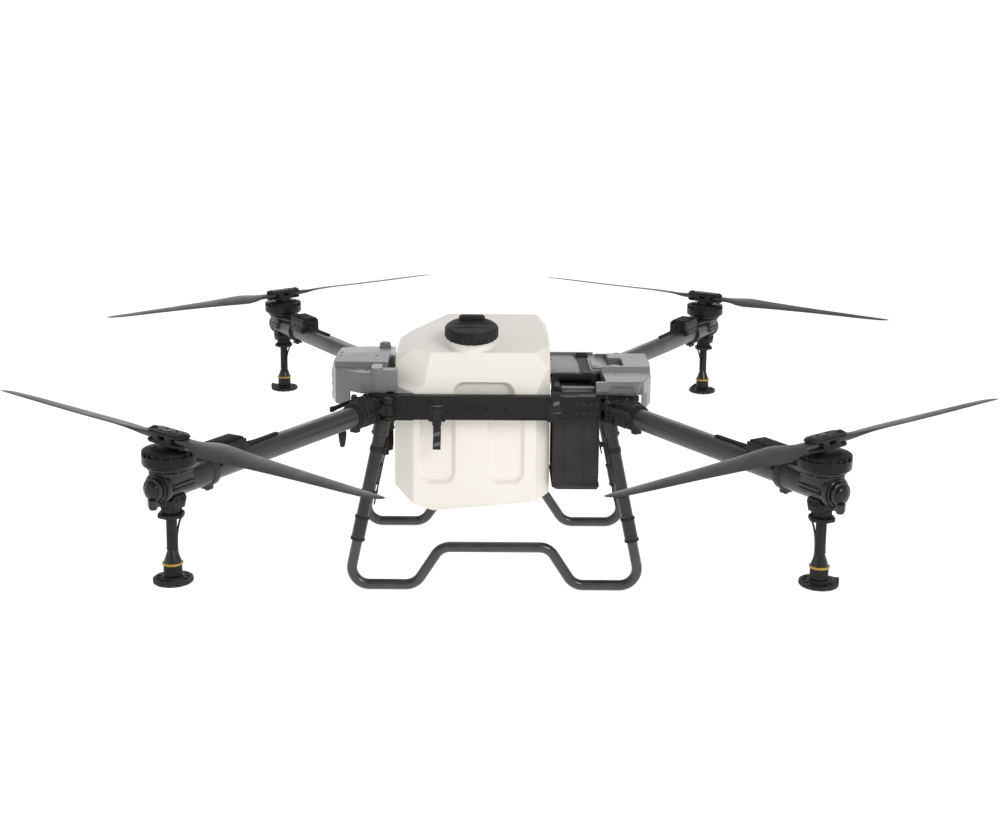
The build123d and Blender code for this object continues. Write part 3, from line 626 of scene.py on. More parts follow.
# about the arm's axis: z goes along x
TO_X = Matrix(((0, 0, 1, 0), (0, 1, 0, 0), (-1, 0, 0, 0), (0, 0, 0, 1)))


# ---------------------------------------------------------------- motor mounts
def turned_on_arm(bm, profile, steps=48, swell=None):
    """A turned shape about the arm's axis, from (radius, x) points."""
    lathe(bm, profile, TO_X, steps, swell)


def motor_mount():
    """The clamped sleeve, its tapered deck and the flange under the motor."""
    bm = bmesh.new()
    x0 = REACH
    turned_on_arm(bm, closed([(25.1, x0 - 118), (32, x0 - 118), (33, x0 - 116.5), (33, x0 - 104),
            (32, x0 - 102), (29.8, x0 - 101), (29.3, x0 - 60), (29.3, x0 + 24), (30.3, x0 + 27),
            (32.5, x0 + 28), (33, x0 + 29.5), (33, x0 + 38), (32, x0 + 39.8), (25.1, x0 + 40)]), 56)
    deck = [(x0 - 99, -13), (x0 - 84, -20), (x0 - 46, -25), (x0 - 30, -35), (x0 + 24, -35), (x0 + 37, -22),
            (x0 + 37, 22), (x0 + 24, 35), (x0 - 30, 35), (x0 - 46, 25), (x0 - 84, 20), (x0 - 99, 13)]
    prism(bm, deck, 24.5, 30, bevel=1.4)
    skirt = [(x0 - 34, -32.5), (x0 + 22, -32.5), (x0 + 30, -24), (x0 + 30, 24), (x0 + 22, 32.5),
            (x0 - 34, 32.5)]
    prism(bm, skirt, 2, 26, bevel=2.5)
    for side in (-1, 1):
        # clamp ears under the motor, with their screws
        ear = rounded([(x0 - 40, side * 28), (x0 + 26, side * 28), (x0 + 22, side * 36),
                (x0 - 34, side * 36)], 5)
        prism(bm, ear, -7, -1.2, bevel=1)
        prism(bm, ear, 1.2, 7, bevel=1)
        for k in range(2):
            bolt(bm, (x0 - 22 + k * 32, side * 32.5, 7), UP, 2.7)
            bolt(bm, (x0 - 22 + k * 32, side * 32.5, -7), DOWN, 2.7)
    lathe(bm, [(0, 29), (40, 29), (41.5, 30), (41.5, 31.5), (36, 32.5), (36, 34), (45, 34.6), (46, 35.4),
            (46, 39), (45, 39.8), (0, 39.8)], shift((x0, 0, 0)), 56)
    for k in range(8):
        turn = 2 * pi * (k + 0.5) / 8
        bolt(bm, (x0 + 41 * cos(turn), 41 * sin(turn), 34.8), DOWN, 2.4, 3.4)
    lathe(bm, rect(0, 38, 8, 73), shift((x0, 0, 0)), 24)
    # tab and cable grommet under the sleeve's inner end
    prism(bm, rect(x0 - 118, -12, x0 - 102, 12, 3), -39, -28, bevel=1.2)
    rod(bm, (x0 - 110, 0, -43), (x0 - 110, 0, -34), 4.6)
    put_arms("motor_sleeve", bm, "coat", replaces="motor_mount")

    bm = bmesh.new()
    turned_on_arm(bm, [(0, x0 + 38), (27.5, x0 + 38), (28.5, x0 + 39), (28.5, x0 + 43.5), (27, x0 + 45),
            (23.4, x0 + 45.4), (23.4, x0 + 49), (24.4, x0 + 50), (24.4, x0 + 52), (23, x0 + 53.4),
            (19, x0 + 53.6), (18.6, x0 + 51), (0, x0 + 51)], 48)
    for k in range(6):
        turn = 2 * pi * k / 6
        bolt(bm, (x0 + 45.2, 25.5 * cos(turn), 25.5 * sin(turn)), (1, 0, 0), 1.6, 1.2)
    prism(bm, [(11.4 * cos(pi * k / 3) + x0 + 51, 11.4 * sin(pi * k / 3)) for k in range(6)], -36, -20,
            bevel=1)
    lathe(bm, [(0, -41), (6.5, -41), (8, -39.5), (8, -35), (0, -35)], shift((x0 + 51, 0, 0)), 24)
    put_arms("lamp_housing", bm, "gloss")

    bm = bmesh.new()
    turned_on_arm(bm, [(18.6, x0 + 50), (18.4, x0 + 54), (17.2, x0 + 57), (14.8, x0 + 59.6),
            (11, x0 + 61.6), (6, x0 + 62.8), (0, x0 + 63.1)], 40)
    put_arms("lamp_lens", (bm, 60), "lens")


motor_mount()


def speed_controller():
    """The finned speed controller on its saddle, with its cable glands."""
    x0 = REACH - 212
    bm = bmesh.new()
    body = rect(x0, -27, x0 + 92, 27, 6)
    prism(bm, body, 24, 43.5, bevel=1.5)
    saddle = rect(x0 + 6, -29, x0 + 86, 29, 4)
    prism(bm, saddle, 9, 25, bevel=2)
    for k in range(13):
        x = x0 + 9.5 + k * 6.1
        profile = [(-24, 42), (24, 42), (23, 51.6), (20, 55), (-20, 55), (-23, 51.6)]
        stand = shift((x, 0, 0)) @ ON_EDGE @ Matrix.Rotation(pi / 2, 4, "Y")
        prism(bm, profile, -1.2, 1.2, stand, 0.35, 1)
    for side in (-1, 1):
        prism(bm, rect(x0 + 2, side * 20, x0 + 90, side * 25, 1), 40, 50, bevel=0.8)
        for k in range(2):
            bolt(bm, (x0 + 14 + 64 * k, side * 29, 16), (0, side, 0), 2.6)
    put_arms("finned_controller", bm, "cast", replaces="speed_controller")
    bm = bmesh.new()
    for k in range(3):
        y = (k - 1) * 11
        rod(bm, (x0 + 90, y, 33), (x0 + 99, y, 33), 4.6)
        tube(bm, smooth_path([(x0 + 97, y, 33), (x0 + 112, y, 33), (x0 + 124, y * 0.8, 31),
                (x0 + 138, y * 0.7, 30)]), 3.0)
    tube(bm, smooth_path([(x0 + 2, 8, 33), (x0 - 14, 8, 32), (x0 - 24, 7, 28.5), (x0 - 60, 5, 27.4),
            (x0 - 130, 3, 27.3)]), 2.6)
    tube(bm, smooth_path([(x0 + 2, -8, 33), (x0 - 14, -8, 32), (x0 - 24, -4, 29), (x0 - 60, -1, 27.4),
            (x0 - 130, -2.4, 27.3)]), 2.6)
    put_arms("motor_leads", (bm, 60), "rubber")


speed_controller()


# ---------------------------------------------------------------- motors and propellers
def motor_rotor():
    """The rotor can with its ring of vents, a dark ring behind them as painted shade, and the windings seen
    under its skirt.
    """
    bm = bmesh.new()
    outer = [(8.5, 62), (8.5, 76.8), (30, 77.2), (43, 76.4), (50, 74.6), (53.6, 73), (55, 71.7),
            (50.6, 71.4), (50.6, 64.2), (55.4, 63.9), (55.5, 62), (55.5, 47), (54.6, 44), (52.6, 41.8),
            (50.8, 41), (49.6, 41.6), (49.4, 44), (49.4, 63), (46, 70), (14, 70), (14, 62)]
    lathe(bm, closed(outer), steps=96)
    for k in range(20):
        turn = spin(2 * pi * (k + 0.5) / 20)
        box(bm, (53, 0, 67.8), (4.2, 2.8, 8), turn, 0.5, 1)
    put_arms("rotor_can", bm, "rotor", "rotor", "motor_rotor", AT_MOTOR)
    bm = bmesh.new()
    # a dark rubber ring on the groove's floor between the ribs: painted shade inside the vents
    lathe(bm, closed(rect(50.2, 64.4, 50.8, 71.2)), steps=72)
    put_arms("vent_shade_ring", bm, "rubber", "rotor", at=AT_MOTOR)
    bm = bmesh.new()
    for k in range(24):
        turn = spin(2 * pi * k / 24)
        box(bm, (39.5, 0, 51), (15, 7, 19), turn, 2.2, 3)
    put_arms("windings", (bm, 60), "copper", at=AT_MOTOR)


motor_rotor()


def stadium(half, width, steps=14):
    """A slot-shaped outline."""
    r = width / 2
    return [(side * (half - r) + r * cos(turn), r * sin(turn)) for side in (1, -1)
            for turn in (pi * k / steps - side * pi / 2 for k in range(steps + 1))]


def prop_hub():
    """Two clamp plates over a centre boss, with the blade bolts through both."""
    bm = bmesh.new()
    lathe(bm, [(0, 74), (26, 74), (26, 77.5), (22, 80), (20, 84.5), (0, 84.5)], steps=40)
    prism(bm, stadium(58, 39), 84.4, 89.4, bevel=1.6)
    prism(bm, stadium(58, 39), 102.6, 106.6, bevel=1.4)
    prism(bm, stadium(56.5, 33), 105.8, 110, bevel=1.6)
    for side in (-1, 1):
        # cheeks between the plates, either side of the window seen from the side
        box(bm, (side * 19, 0, 96), (18, 37.5, 14.5), bevel=1.2)
        box(bm, (0, side * 15, 91), (30, 6, 5), bevel=0.8)
        lathe(bm, rect(0, 89, 12, 89.7), shift((side * 46, 0, 0)), 32)
        bolt(bm, (side * 16, 9, 109.6), UP, 2.4, 1.6)
        bolt(bm, (side * 16, -9, 109.6), UP, 2.4, 1.6)
    lathe(bm, rect(0, 84, 7, 104), steps=32)
    put_arms("hub_plates", bm, "black", "rotor", "prop_hub", frames=PROP)
    bm = bmesh.new()
    for side in (-1, 1):
        spot = shift((side * 46, 0, 0))
        lathe(bm, [(0, 108.3), (7.6, 108.3), (8, 108.7), (8, 110.7), (7.4, 111), (6.2, 111), (6.2, 112),
                (5.6, 112.6), (3.4, 112.6), (3.4, 111), (0, 111)], spot, 24)
        lathe(bm, [(0, 81.5), (5.2, 81.5), (6.2, 82.2), (6.2, 84.6), (0, 84.6)], spot, 6)
        lathe(bm, rect(0, 84, 3.95, 103), spot, 20)
    lathe(bm, [(0, 109), (8.5, 109), (8.5, 110.4), (7.6, 110.8), (0, 110.8)], steps=24)
    put_arms("hub_bolts", bm, "rotor", "rotor", frames=PROP)


prop_hub()

# Radius, chord, how far the chord's middle trails, thickness and pitch in degrees at each station of a blade.
BLADE = [
    (33.2, 24.0, 0.0, 12.6, 0.0),
    (46.0, 26.8, 0.0, 12.6, 0.0),
    (62.0, 26.0, 0.0, 12.4, 1.0),
    (78.0, 28.5, 0.5, 11.6, 4.0),
    (98.0, 41.0, 1.5, 10.2, 9.5),
    (122.0, 57.0, 3.0, 9.4, 13.5),
    (148.0, 64.5, 4.0, 8.8, 14.5),
    (182.0, 62.0, 4.2, 8.0, 13.6),
    (220.0, 57.0, 3.6, 7.2, 12.0),
    (280.0, 50.5, 2.2, 6.2, 10.2),
    (340.0, 45.0, 1.0, 5.4, 8.8),
    (400.0, 40.0, 0.0, 4.7, 7.5),
    (460.0, 35.5, -0.8, 4.1, 6.6),
    (520.0, 31.0, -1.6, 3.5, 5.8),
    (560.0, 27.0, -3.0, 3.0, 5.3),
    (583.0, 21.5, -4.8, 2.5, 5.0),
    (596.0, 14.5, -7.0, 2.0, 4.7),
    (603.0, 6.5, -9.4, 1.5, 4.5),
]


def blade_mesh():
    """One airfoil blade along +x for a propeller that turns clockwise from above, leading edge at -y."""
    bm = bmesh.new()
    sides = 22
    rings = []
    for radius, chord, trail, thick, pitch in BLADE:
        root = max(0.0, min(1.0, (110.0 - radius) / 34.0))
        ring = []
        for k in range(sides):
            turn = 2 * pi * k / sides
            t = 0.5 - 0.5 * cos(turn)
            camber = 0.045 * chord * 4 * t * (1 - t) * (1 - root)
            wing = thick * 2.6 * (0.2969 * math.sqrt(t) - 0.126 * t - 0.3516 * t * t + 0.2843 * t ** 3
                    - 0.1015 * t ** 4)
            slab = thick / 2 * abs(sin(turn)) ** 0.35
            height = (wing * (1 - root) + slab * root) * (1 if sin(turn) > 0 else -1 if sin(turn) < 0
                    else 0)
            across = (t - 0.5) * chord
            tilt = radians(-pitch)
            y = across * cos(tilt) - (height + camber) * sin(tilt)
            z = across * sin(tilt) + (height + camber) * cos(tilt)
            ring.append(bm.verts.new((radius, trail + y, PROP_Z + z)))
        rings.append(ring)
    add_skin(bm, rings)
    return bm


def blades():
    """Two blades at each corner, mirrored where the propeller turns the other way."""
    right = to_mesh(blade_mesh(), "blade_right", 50)
    bm = blade_mesh()
    bmesh.ops.scale(bm, vec=(1, -1, 1), verts=bm.verts)
    left = to_mesh(bm, "blade_left", 50)
    for corner in CORNERS:
        mesh = left if HAND[corner] > 0 else right
        for name, turn in (("a", 0), ("b", pi)):
            put(f"foil_{name}_{corner}", mesh, "blade", f"blade_{name}_{corner}", PROP[corner] @ spin(turn),
                    replaces=(f"blade_{name}_{corner}",))


blades()


# ---------------------------------------------------------------- spray nozzles
def nozzle():
    """The bracket, hexagonal flange, shaft, glossy cone and body of one nozzle."""
    at = shift((REACH, 0, 0))
    bm = bmesh.new()
    for side in (-1, 1):
        cheek = [(-17, -20), (17, -20), (20, -29), (14, -48), (-14, -48), (-20, -29)]
        stand = at @ shift((0, side * 22, 0)) @ ON_EDGE
        prism(bm, cheek, -3, 3, stand, 1)
        bolt(bm, (REACH - 9, side * 25, -30), (0, side, 0), 2.8)
        bolt(bm, (REACH + 9, side * 25, -30), (0, side, 0), 2.8)
    prism(bm, rect(-19, -25, 19, 25, 4), -36, -31, at, 1)
    prism(bm, rect(-17, -20, 17, 20, 4), -47, -35, at, 1)
    hexagon = [(cos(pi * k / 3 + pi / 6), sin(pi * k / 3 + pi / 6)) for k in range(6)]
    prism(bm, [(21.5 * x, 21.5 * y) for x, y in hexagon], -60.5, -46, at, 1.4)
    prism(bm, rounded([(29.5 * x, 29.5 * y) for x, y in hexagon], 5), -68, -61, at, 1.6)
    for x, y in hexagon:
        bolt(bm, (REACH + 24 * x, 24 * y, -61), UP, 2.3, 2)
    lathe(bm, [(0, -72.5), (15, -72.5), (16.5, -71), (16.5, -67), (0, -67)], at, 36)
    put_arms("nozzle_bracket", bm, "black", replaces="nozzle")

    bm = bmesh.new()
    lathe(bm, [(0, -71), (11, -71), (11, -134), (11.6, -135), (11.6, -138), (9.8, -139.6), (0, -139.6)], at,
            32)
    for side in (-1, 1):
        tube(bm, smooth_path([(REACH - 12, side * 15, -50), (REACH - 15, side * 14, -66),
                (REACH - 13, side * 8, -86), (REACH - 12.4, side * 3, -110), (REACH - 12, side * 2, -136),
                (REACH - 13, side * 3, -150)]), 2.2)
    put_arms("nozzle_shaft", bm, "black")

    bm = bmesh.new()
    lathe(bm, [(0, -138.5), (9.6, -138.5), (10.4, -140), (18.2, -163), (19.2, -165), (19.2, -167),
            (0, -167)], at, 40)
    put_arms("nozzle_cone", bm, "gloss")

    bm = bmesh.new()
    profile = [(17, -164.6), (20.6, -164.6), (21.3, -165.6), (21.3, -168.4), (20.6, -169.4), (17, -169.4)]
    lathe(bm, closed(profile), at, 48)
    put_arms("nozzle_ring", bm, "yellow")

    bm = bmesh.new()
    lathe(bm, [(0, -169), (18.6, -169), (19, -170), (19, -186), (19.4, -187), (19.4, -191), (18.4, -192),
            (0, -192)], at, 40, swell=lambda t, i: 1 - 0.018 * (0.5 + 0.5 * cos(20 * t)) if 2 <= i <= 3
            else 1)
    put_arms("nozzle_body", bm, "black")


def spray_disc():
    """The dished spinning disc: lobed rim with one raised wing, scalloped underside, faint amber ring."""
    bm = bmesh.new()
    steps = 72
    wing = [max(0.0, cos(2 * pi * k / steps - 0.9)) ** 10 for k in range(steps)]
    lobes = [0.5 + 0.5 * cos(12 * 2 * pi * k / steps) for k in range(steps)]
    levels = [
        # radius, z, rise under the wing, lobe depth on the radius, lobe depth on z
        (6.0, -193.0, 0, 0, 0), (20.5, -193.2, 0, 0, 0), (25.0, -197.5, 0, 0, 0), (31.0, -199.0, 3, 0, 0),
        (37.0, -197.5, 7, 0.4, 0), (40.4, -197.8, 8.5, 0.8, 0), (42.0, -200.5, 6, 1.2, 0),
        (41.4, -204.5, 2, 1.6, 1.0), (36.0, -207.5, 0, 2.0, 2.2), (29.0, -209.5, 0, 1.6, 3.0),
        (20.0, -211.2, 0, 0.4, 0.6), (0.0, -211.8, 0, 0, 0),
    ]
    rings = []
    for radius, z, rise, inset, drop in levels:
        if radius == 0:
            rings.append([bm.verts.new((0, 0, z))])
            continue
        ring = []
        for k in range(steps):
            t = 2 * pi * k / steps
            r = radius - inset * (1 - lobes[k])
            ring.append(bm.verts.new((r * cos(t), r * sin(t), z + rise * wing[k] - drop * lobes[k] * 0.45)))
        rings.append(ring)
    for a, b in zip(rings, rings[1:]):
        for k in range(steps):
            n = (k + 1) % steps
            bm.faces.new((a[k], a[n], b[0]) if len(b) == 1 else (a[k], a[n], b[n], b[k]))
    bm.faces.new(rings[0])
    for k in range(12):
        turn = spin(2 * pi * (k + 0.5) / 12)
        box(bm, (29, 0, -198), (12, 1.4, 3), turn, 0.4, 1)
    put_arms("disc_dish", bm, "black", "disc", "spray_disc", AT_MOTOR)
    bm = bmesh.new()
    lathe(bm, closed([(37.5, -206.2), (39.6, -205.4), (40.0, -206.2), (38.2, -207.4)]), steps=60)
    put_arms("disc_ring", bm, "amber", "disc", at=AT_MOTOR)
    bm = bmesh.new()
    for turn in (2.1, 4.2, 6.28):
        bolt(bm, (36.5 * cos(turn), 36.5 * sin(turn), -198.2), UP, 1.6, 1.4)
    put_arms("disc_screws", bm, "bolt", "disc", at=AT_MOTOR)


nozzle()
spray_disc()

# ---------------------------------------------------------------- fold joints
LEVER_PIN = (17.0, -44.0)


def barrel(bm, low, high, radius=14.0):
    """One leaf of the hinge, round the pivot."""
    lathe(bm, [(0, low), (radius - 1.5, low), (radius, low + 1.5), (radius, high - 1.5),
            (radius - 1.5, high), (0, high)], shift((0, PIVOT_Y, 0)), 40)


def hinge_bracket():
    """The cast bracket on the frame's corner."""
    bm = bmesh.new()
    prism(bm, rounded([(-0.6, -33), (-0.6, 29), (-40, 29), (-58, 14), (-52, -8), (-36, -33)], 4), -23, 33,
            bevel=1)
    for low, high in ((-23, -9.6), (19.6, 33)):
        barrel(bm, low, high)
        prism(bm, [(-0.6, 20), (-0.6, PIVOT_Y), (-13.5, PIVOT_Y), (-36, 20)], low, high, bevel=1)
    prism(bm, rect(-21, -41, -7, -30, 3), 4, 24, bevel=1)
    cutter = bmesh.new()
    for low, high in ((-15, 2), (8, 25)):
        prism(cutter, rect(-34, -40, -12, -27, 2), low, high)
        prism(cutter, rect(-36, 24, -20, 40, 2), low, high)
    for k in range(3):
        prism(cutter, rect(-50 + k * 15, -22, -39 + k * 15, 18, 3), 29, 40)
    lathe(cutter, rect(0, -9.6, 15.4, 19.6), shift((0, PIVOT_Y, 0)), 40)
    put_cast("bracket_cast", solidify(bm, "bracket_cast", 1.3, 3, [cutter], 40), "cast", "hinge_brackets")
    bm = bmesh.new()
    for x, y in ((-42, 20), (-13, 22), (-32, -24), (-13, -26)):
        bolt(bm, (x, y, 33), UP, 3.4, 3)
        bolt(bm, (x, y, -23), DOWN, 3.4, 3)
    for z in (-17, 27):
        bolt(bm, (-6, -33, z), (0, -1, 0), 2.6, 2)
    put_cast("bracket_bolts", bm, "bolt")
    # the pivot pin with its two heads
    bm = bmesh.new()
    spot = shift((0, PIVOT_Y, 0))
    lathe(bm, [(0, -26), (7.6, -26), (8.8, -25.2), (8.8, -23), (4.98, -23), (4.98, 33), (9, 33), (9, 34.2),
            (7.6, 35.8), (4, 35.9), (3.6, 34.6), (0, 34.6)], spot, 32)
    put_cast("pivot_pin", bm, "bolt", "hinge_pins")


def hinge_knuckle():
    """The cast knuckle that holds the arm tube, its clamp collar and screws."""
    bm = bmesh.new()
    prism(bm, rounded([(0.6, -33), (0.6, 29), (34, 29), (64, 22), (64, -25), (34, -33)], 4), -24.6, 30.6,
            bevel=1.5)
    turned_on_arm(bm, closed([(25.2, 12), (31, 12), (33, 14), (33, 60), (31.5, 62), (29.8, 62.5),
            (29.8, 65.5), (32, 66), (33, 67), (33, 83.6), (31.8, 85), (25.2, 85)]), 56)
    barrel(bm, -8.8, 18.8)
    prism(bm, [(0.6, 20), (0.6, PIVOT_Y), (13.5, PIVOT_Y), (36, 20)], -8.8, 18.8, bevel=1)
    for low, high in ((4, 8.6), (24.4, 29)):
        prism(bm, rect(9.5, -51.5, 24.5, -30, 6.5, 6), low, high, bevel=0.8)
    for side in (-1, 1):
        # ribs that run from the joint face down to the collar
        for y in (-24, -9, 8, 21):
            rib = [(4, 0), (4, 32 if side > 0 else 26), (26, 32 if side > 0 else 26), (64, 27), (64, 0)]
            stand = shift((0, y, 0)) @ Matrix.Rotation(pi / 2 * side, 4, "X")
            prism(bm, rib, -1.8, 1.8, stand, 0.6, 1)
    box(bm, (75, 0, -35), (18, 20, 9), bevel=1.5)
    cutter = bmesh.new()
    box(cutter, (75, 0, -33), (24, 2.2, 20))
    for x in (12, 38):
        for low, high in ((-18, -1), (9, 24)):
            prism(cutter, rect(x, -44, x + 17, -30.4, 2), low, high)
            prism(cutter, rect(x + 6, 26.4, x + 20, 40, 2), low, high)
    turned_on_arm(cutter, rect(0, 10, 25.15, 90), 48)
    put_arms("knuckle_cast", solidify(bm, "knuckle_cast", 1.3, 3, [cutter], 40), "cast",
            replaces="hinge_knuckle")

    bm = bmesh.new()
    for y in (-1, 1):
        bolt(bm, (75, y * 10, -36), (0, y, 0), 2.6, 2.2)
    for x, y in ((14, -16), (44, -15), (14, 14), (44, 14)):
        bolt(bm, (x, y, 30.4), UP, 3.0, 2.4)
        bolt(bm, (x, y, -24.6), DOWN, 3.0, 2.0)
    put_arms("knuckle_bolts", bm, "bolt")

    # dark gasket between the collar and the tube
    bm = bmesh.new()
    turned_on_arm(bm, closed([(24.9, 84), (28.4, 84), (28.8, 85), (28.8, 90), (28, 91.4), (24.9, 91.4)]),
            48)
    put_arms("tube_gasket", bm, "rubber")


def lock_lever():
    """The latch lever: a curved handle with a padded end, on a domed pin."""
    bm = bmesh.new()
    spine = [(17, -45.5, 16.5), (34, -47, 17.5), (56, -46, 18.5), (78, -44.8, 18.2), (96, -45.6, 17),
            (107, -47.6, 16)]
    path = smooth_path(spine, 5)
    for k, (a, b) in enumerate(zip(path, path[1:])):
        wide = 13.5 - 3.5 * sin(pi * k / (len(path) - 1))
        direction = math.atan2(b.y - a.y, b.x - a.x)
        middle = (a + b) / 2
        stand = shift(middle) @ spin(direction)
        box(bm, (0, 0, 0), ((b - a).length + 3, 7.5, wide), stand, 1.6, 2)
    lathe(bm, rect(0, 9.2, 7.5, 23.8), shift((*LEVER_PIN, 0)), 32)
    box(bm, (101, -46.4, 16.6), (14, 8.5, 13.5), bevel=2.5)
    put_arms("lever_cast", solidify(bm, "lever_cast", 1.0, 3, angle=45), "black", "lever", "lock_lever")
    bm = bmesh.new()
    spot = shift((*LEVER_PIN, 0))
    lathe(bm, [(0, 2.6), (5.6, 2.6), (6.4, 3.3), (6.4, 4), (2.95, 4), (2.95, 29), (7.2, 29), (7.3, 30.5),
            (6.4, 33), (4.4, 34.7), (0, 35.4)], spot, 32)
    put_arms("lever_pin", (bm, 60), "gloss")


hinge_bracket()
hinge_knuckle()
lock_lever()


# ---------------------------------------------------------------- frame, legs and skids
def finish_nodes(material, *names):
    """Gives CAD nodes whose shape is right their finish."""
    for name in names:
        mesh = NODES[name].data
        mesh.materials.clear()
        mesh.materials.append(MAT[material])
        set_edges(mesh, 30)


finish_nodes("frame", "frame_beams", "frame_cross")
finish_nodes("coat", "legs")
finish_nodes("skid", "left_skid", "right_skid")
finish_nodes("black", "pump", "flight_controller")
for tube_corner in CORNERS:
    finish_nodes("carbon", f"arm_tube_{tube_corner}")


def beam_details():
    """Blind rivets in the near ends' holes, the lip along the beam's top, and the corner screws."""
    low, high = box_mm("frame_beams")
    mid_z = (low.z + high.z) / 2
    rivets, dark = bmesh.new(), bmesh.new()
    for face_y, out in ((low.y, -1), (high.y, 1)):
        for side in (-1, 1):
            for col in range(4):
                for row in (-1, 1):
                    spot = (side * 222 + (col - 1.5) * 16, face_y + out * 0.05, mid_z + row * 12)
                    # those beside the battery are light steel, the others dark
                    target = rivets if side > 0 else dark
                    stand = along(spot, (spot[0], spot[1] + out, spot[2]))
                    lathe(target, [(0, -2.4), (1.4, -2.4), (1.4, 0), (1.9, 0), (1.8, 0.4), (1.4, 0.8),
                            (0.8, 0.9), (0.7, 0.45), (0, 0.45)], stand, 16)
        for x in (low.x + 8, high.x - 8):
            for row in (-1, 1):
                bolt(dark, (x, face_y, mid_z + row * 21), (0, out, 0), 2.4, 1.8)
        for x in (-24, 24):
            # dark blank sleeve set deep behind each accessory hole: painted shade inside the hole
            stand = along((x, face_y - out * 7, mid_z), (x, face_y - out * 17, mid_z))
            lathe(dark, [(0, 3), (2.4, 3), (2.4, 0.2), (4.6, 0.2), (4.6, 8), (0, 8)], stand, 20)
    put("bright_rivets", rivets, "bolt", "airframe")
    put("dark_rivets_and_hole_shade", dark, "rubber", "airframe")
    bm = bmesh.new()
    for face_y, out in ((low.y, 1), (high.y, -1)):
        lip = rect(low.x + 1, face_y, high.x - 1, face_y + out * 26)
        prism(bm, lip, high.z - 0.2, high.z + 1.4, bevel=0.5)
        prism(bm, lip, low.z - 1.4, low.z + 0.2, bevel=0.5)
    put("beam_lips", bm, "frame", "airframe")


def leg_details():
    """Rubber cuffs, clamp screws and cable clips on the four legs."""
    cuffs, clips, screws = bmesh.new(), bmesh.new(), bmesh.new()
    for sx in (-1, 1):
        for sy in (-1, 1):
            foot = Vector((sx * 334.6, sy * 237.5, 140))
            head = Vector((sx * 281.3, sy * 222.0, 396))
            stand = along(foot, head)
            for z0 in (-15, 40):
                lathe(cuffs, closed([(15, z0), (17.6, z0), (18.1, z0 + 1), (18.1, z0 + 5), (17.6, z0 + 6),
                        (15, z0 + 6)]), stand, 36)
            for z0 in (100, 212):
                lathe(clips, closed(rect(14.6, z0, 16.6, z0 + 12)), stand, 36)
            inward = (stand.inverted() @ Vector((0, sy * 237.5, 300))).xy.normalized()
            for z0 in (103, 215):
                box(clips, (inward.x * 18.5, inward.y * 18.5, z0 + 3), (8, 8, 14), stand, 1.4)
                ends = [(inward.x * 22, inward.y * 22, z0 - 9), (inward.x * 22.4, inward.y * 22.4, z0 + 15)]
                tube(clips, ends, 2.6, stand)
            for k in range(2):
                across = spin(pi / 2 * k)
                bolt(screws, (0, -19.5, 259), (0, -1, 0), 2.8, 1.8, stand @ across)
                bolt(screws, (0, 19.5, 259), (0, 1, 0), 2.8, 1.8, stand @ across)
            cable = [(inward.x * 22.2, inward.y * 22.2, z) for z in (80, 100, 140, 180, 220, 244)]
            tube(clips, smooth_path(cable, 3), 1.9, stand)
    put("leg_cuffs", cuffs, "rubber", "airframe")
    put("leg_clips", clips, "black", "airframe")
    put("leg_screws", screws, "bolt", "airframe")


beam_details()
leg_details()


# ---------------------------------------------------------------- tank and lid
def loft(bm, levels, at=Matrix()):
    """A closed skin through outlines of equal length at their own heights."""
    rings = [[bm.verts.new(at @ Vector((x, y, z))) for x, y in outline] for outline, z in levels]
    add_skin(bm, rings)


def add_cut(bm, made, planes):
    """Adds the block in made, cut back by planes, each a point and the normal of the side that goes."""
    for point, normal in planes:
        geometry = [*made.verts, *made.edges, *made.faces]
        cut = bmesh.ops.bisect_plane(made, geom=geometry, plane_co=point, plane_no=normal, clear_outer=True)
        edges = [g for g in cut["geom_cut"] if isinstance(g, bmesh.types.BMEdge)]
        if edges:
            bmesh.ops.holes_fill(made, edges=edges, sides=0)
    bmesh.ops.recalc_face_normals(made, faces=made.faces)
    holder = bpy.data.meshes.new("block")
    made.to_mesh(holder)
    made.free()
    bm.from_mesh(holder)
    bpy.data.meshes.remove(holder)


def side_planes(outline, u, v):
    """The planes along an anticlockwise outline drawn on world axes u and v."""
    planes = []
    for a, b in zip(outline, [*outline[1:], outline[0]]):
        point, normal = Vector(), Vector()
        point[u], point[v] = a
        normal[u], normal[v] = b[1] - a[1], a[0] - b[0]
        planes.append((point, normal.normalized()))
    return planes


def outward(planes, center):
    """The planes with their normals pointing away from center."""
    return [(point, normal if normal.dot(point - center) >= 0 else -normal) for point, normal in planes]


# faces outwards along -y: x stays x, and the frame's y is world z
TO_FRONT = Matrix(((1, 0, 0, 0), (0, 0, -1, 0), (0, 1, 0, 0), (0, 0, 0, 1)))
# faces outwards along +x: the frame's x and y are world y and z
TO_TAIL = Matrix(((0, 0, 1, 0), (1, 0, 0, 0), (0, 1, 0, 0), (0, 0, 0, 1)))


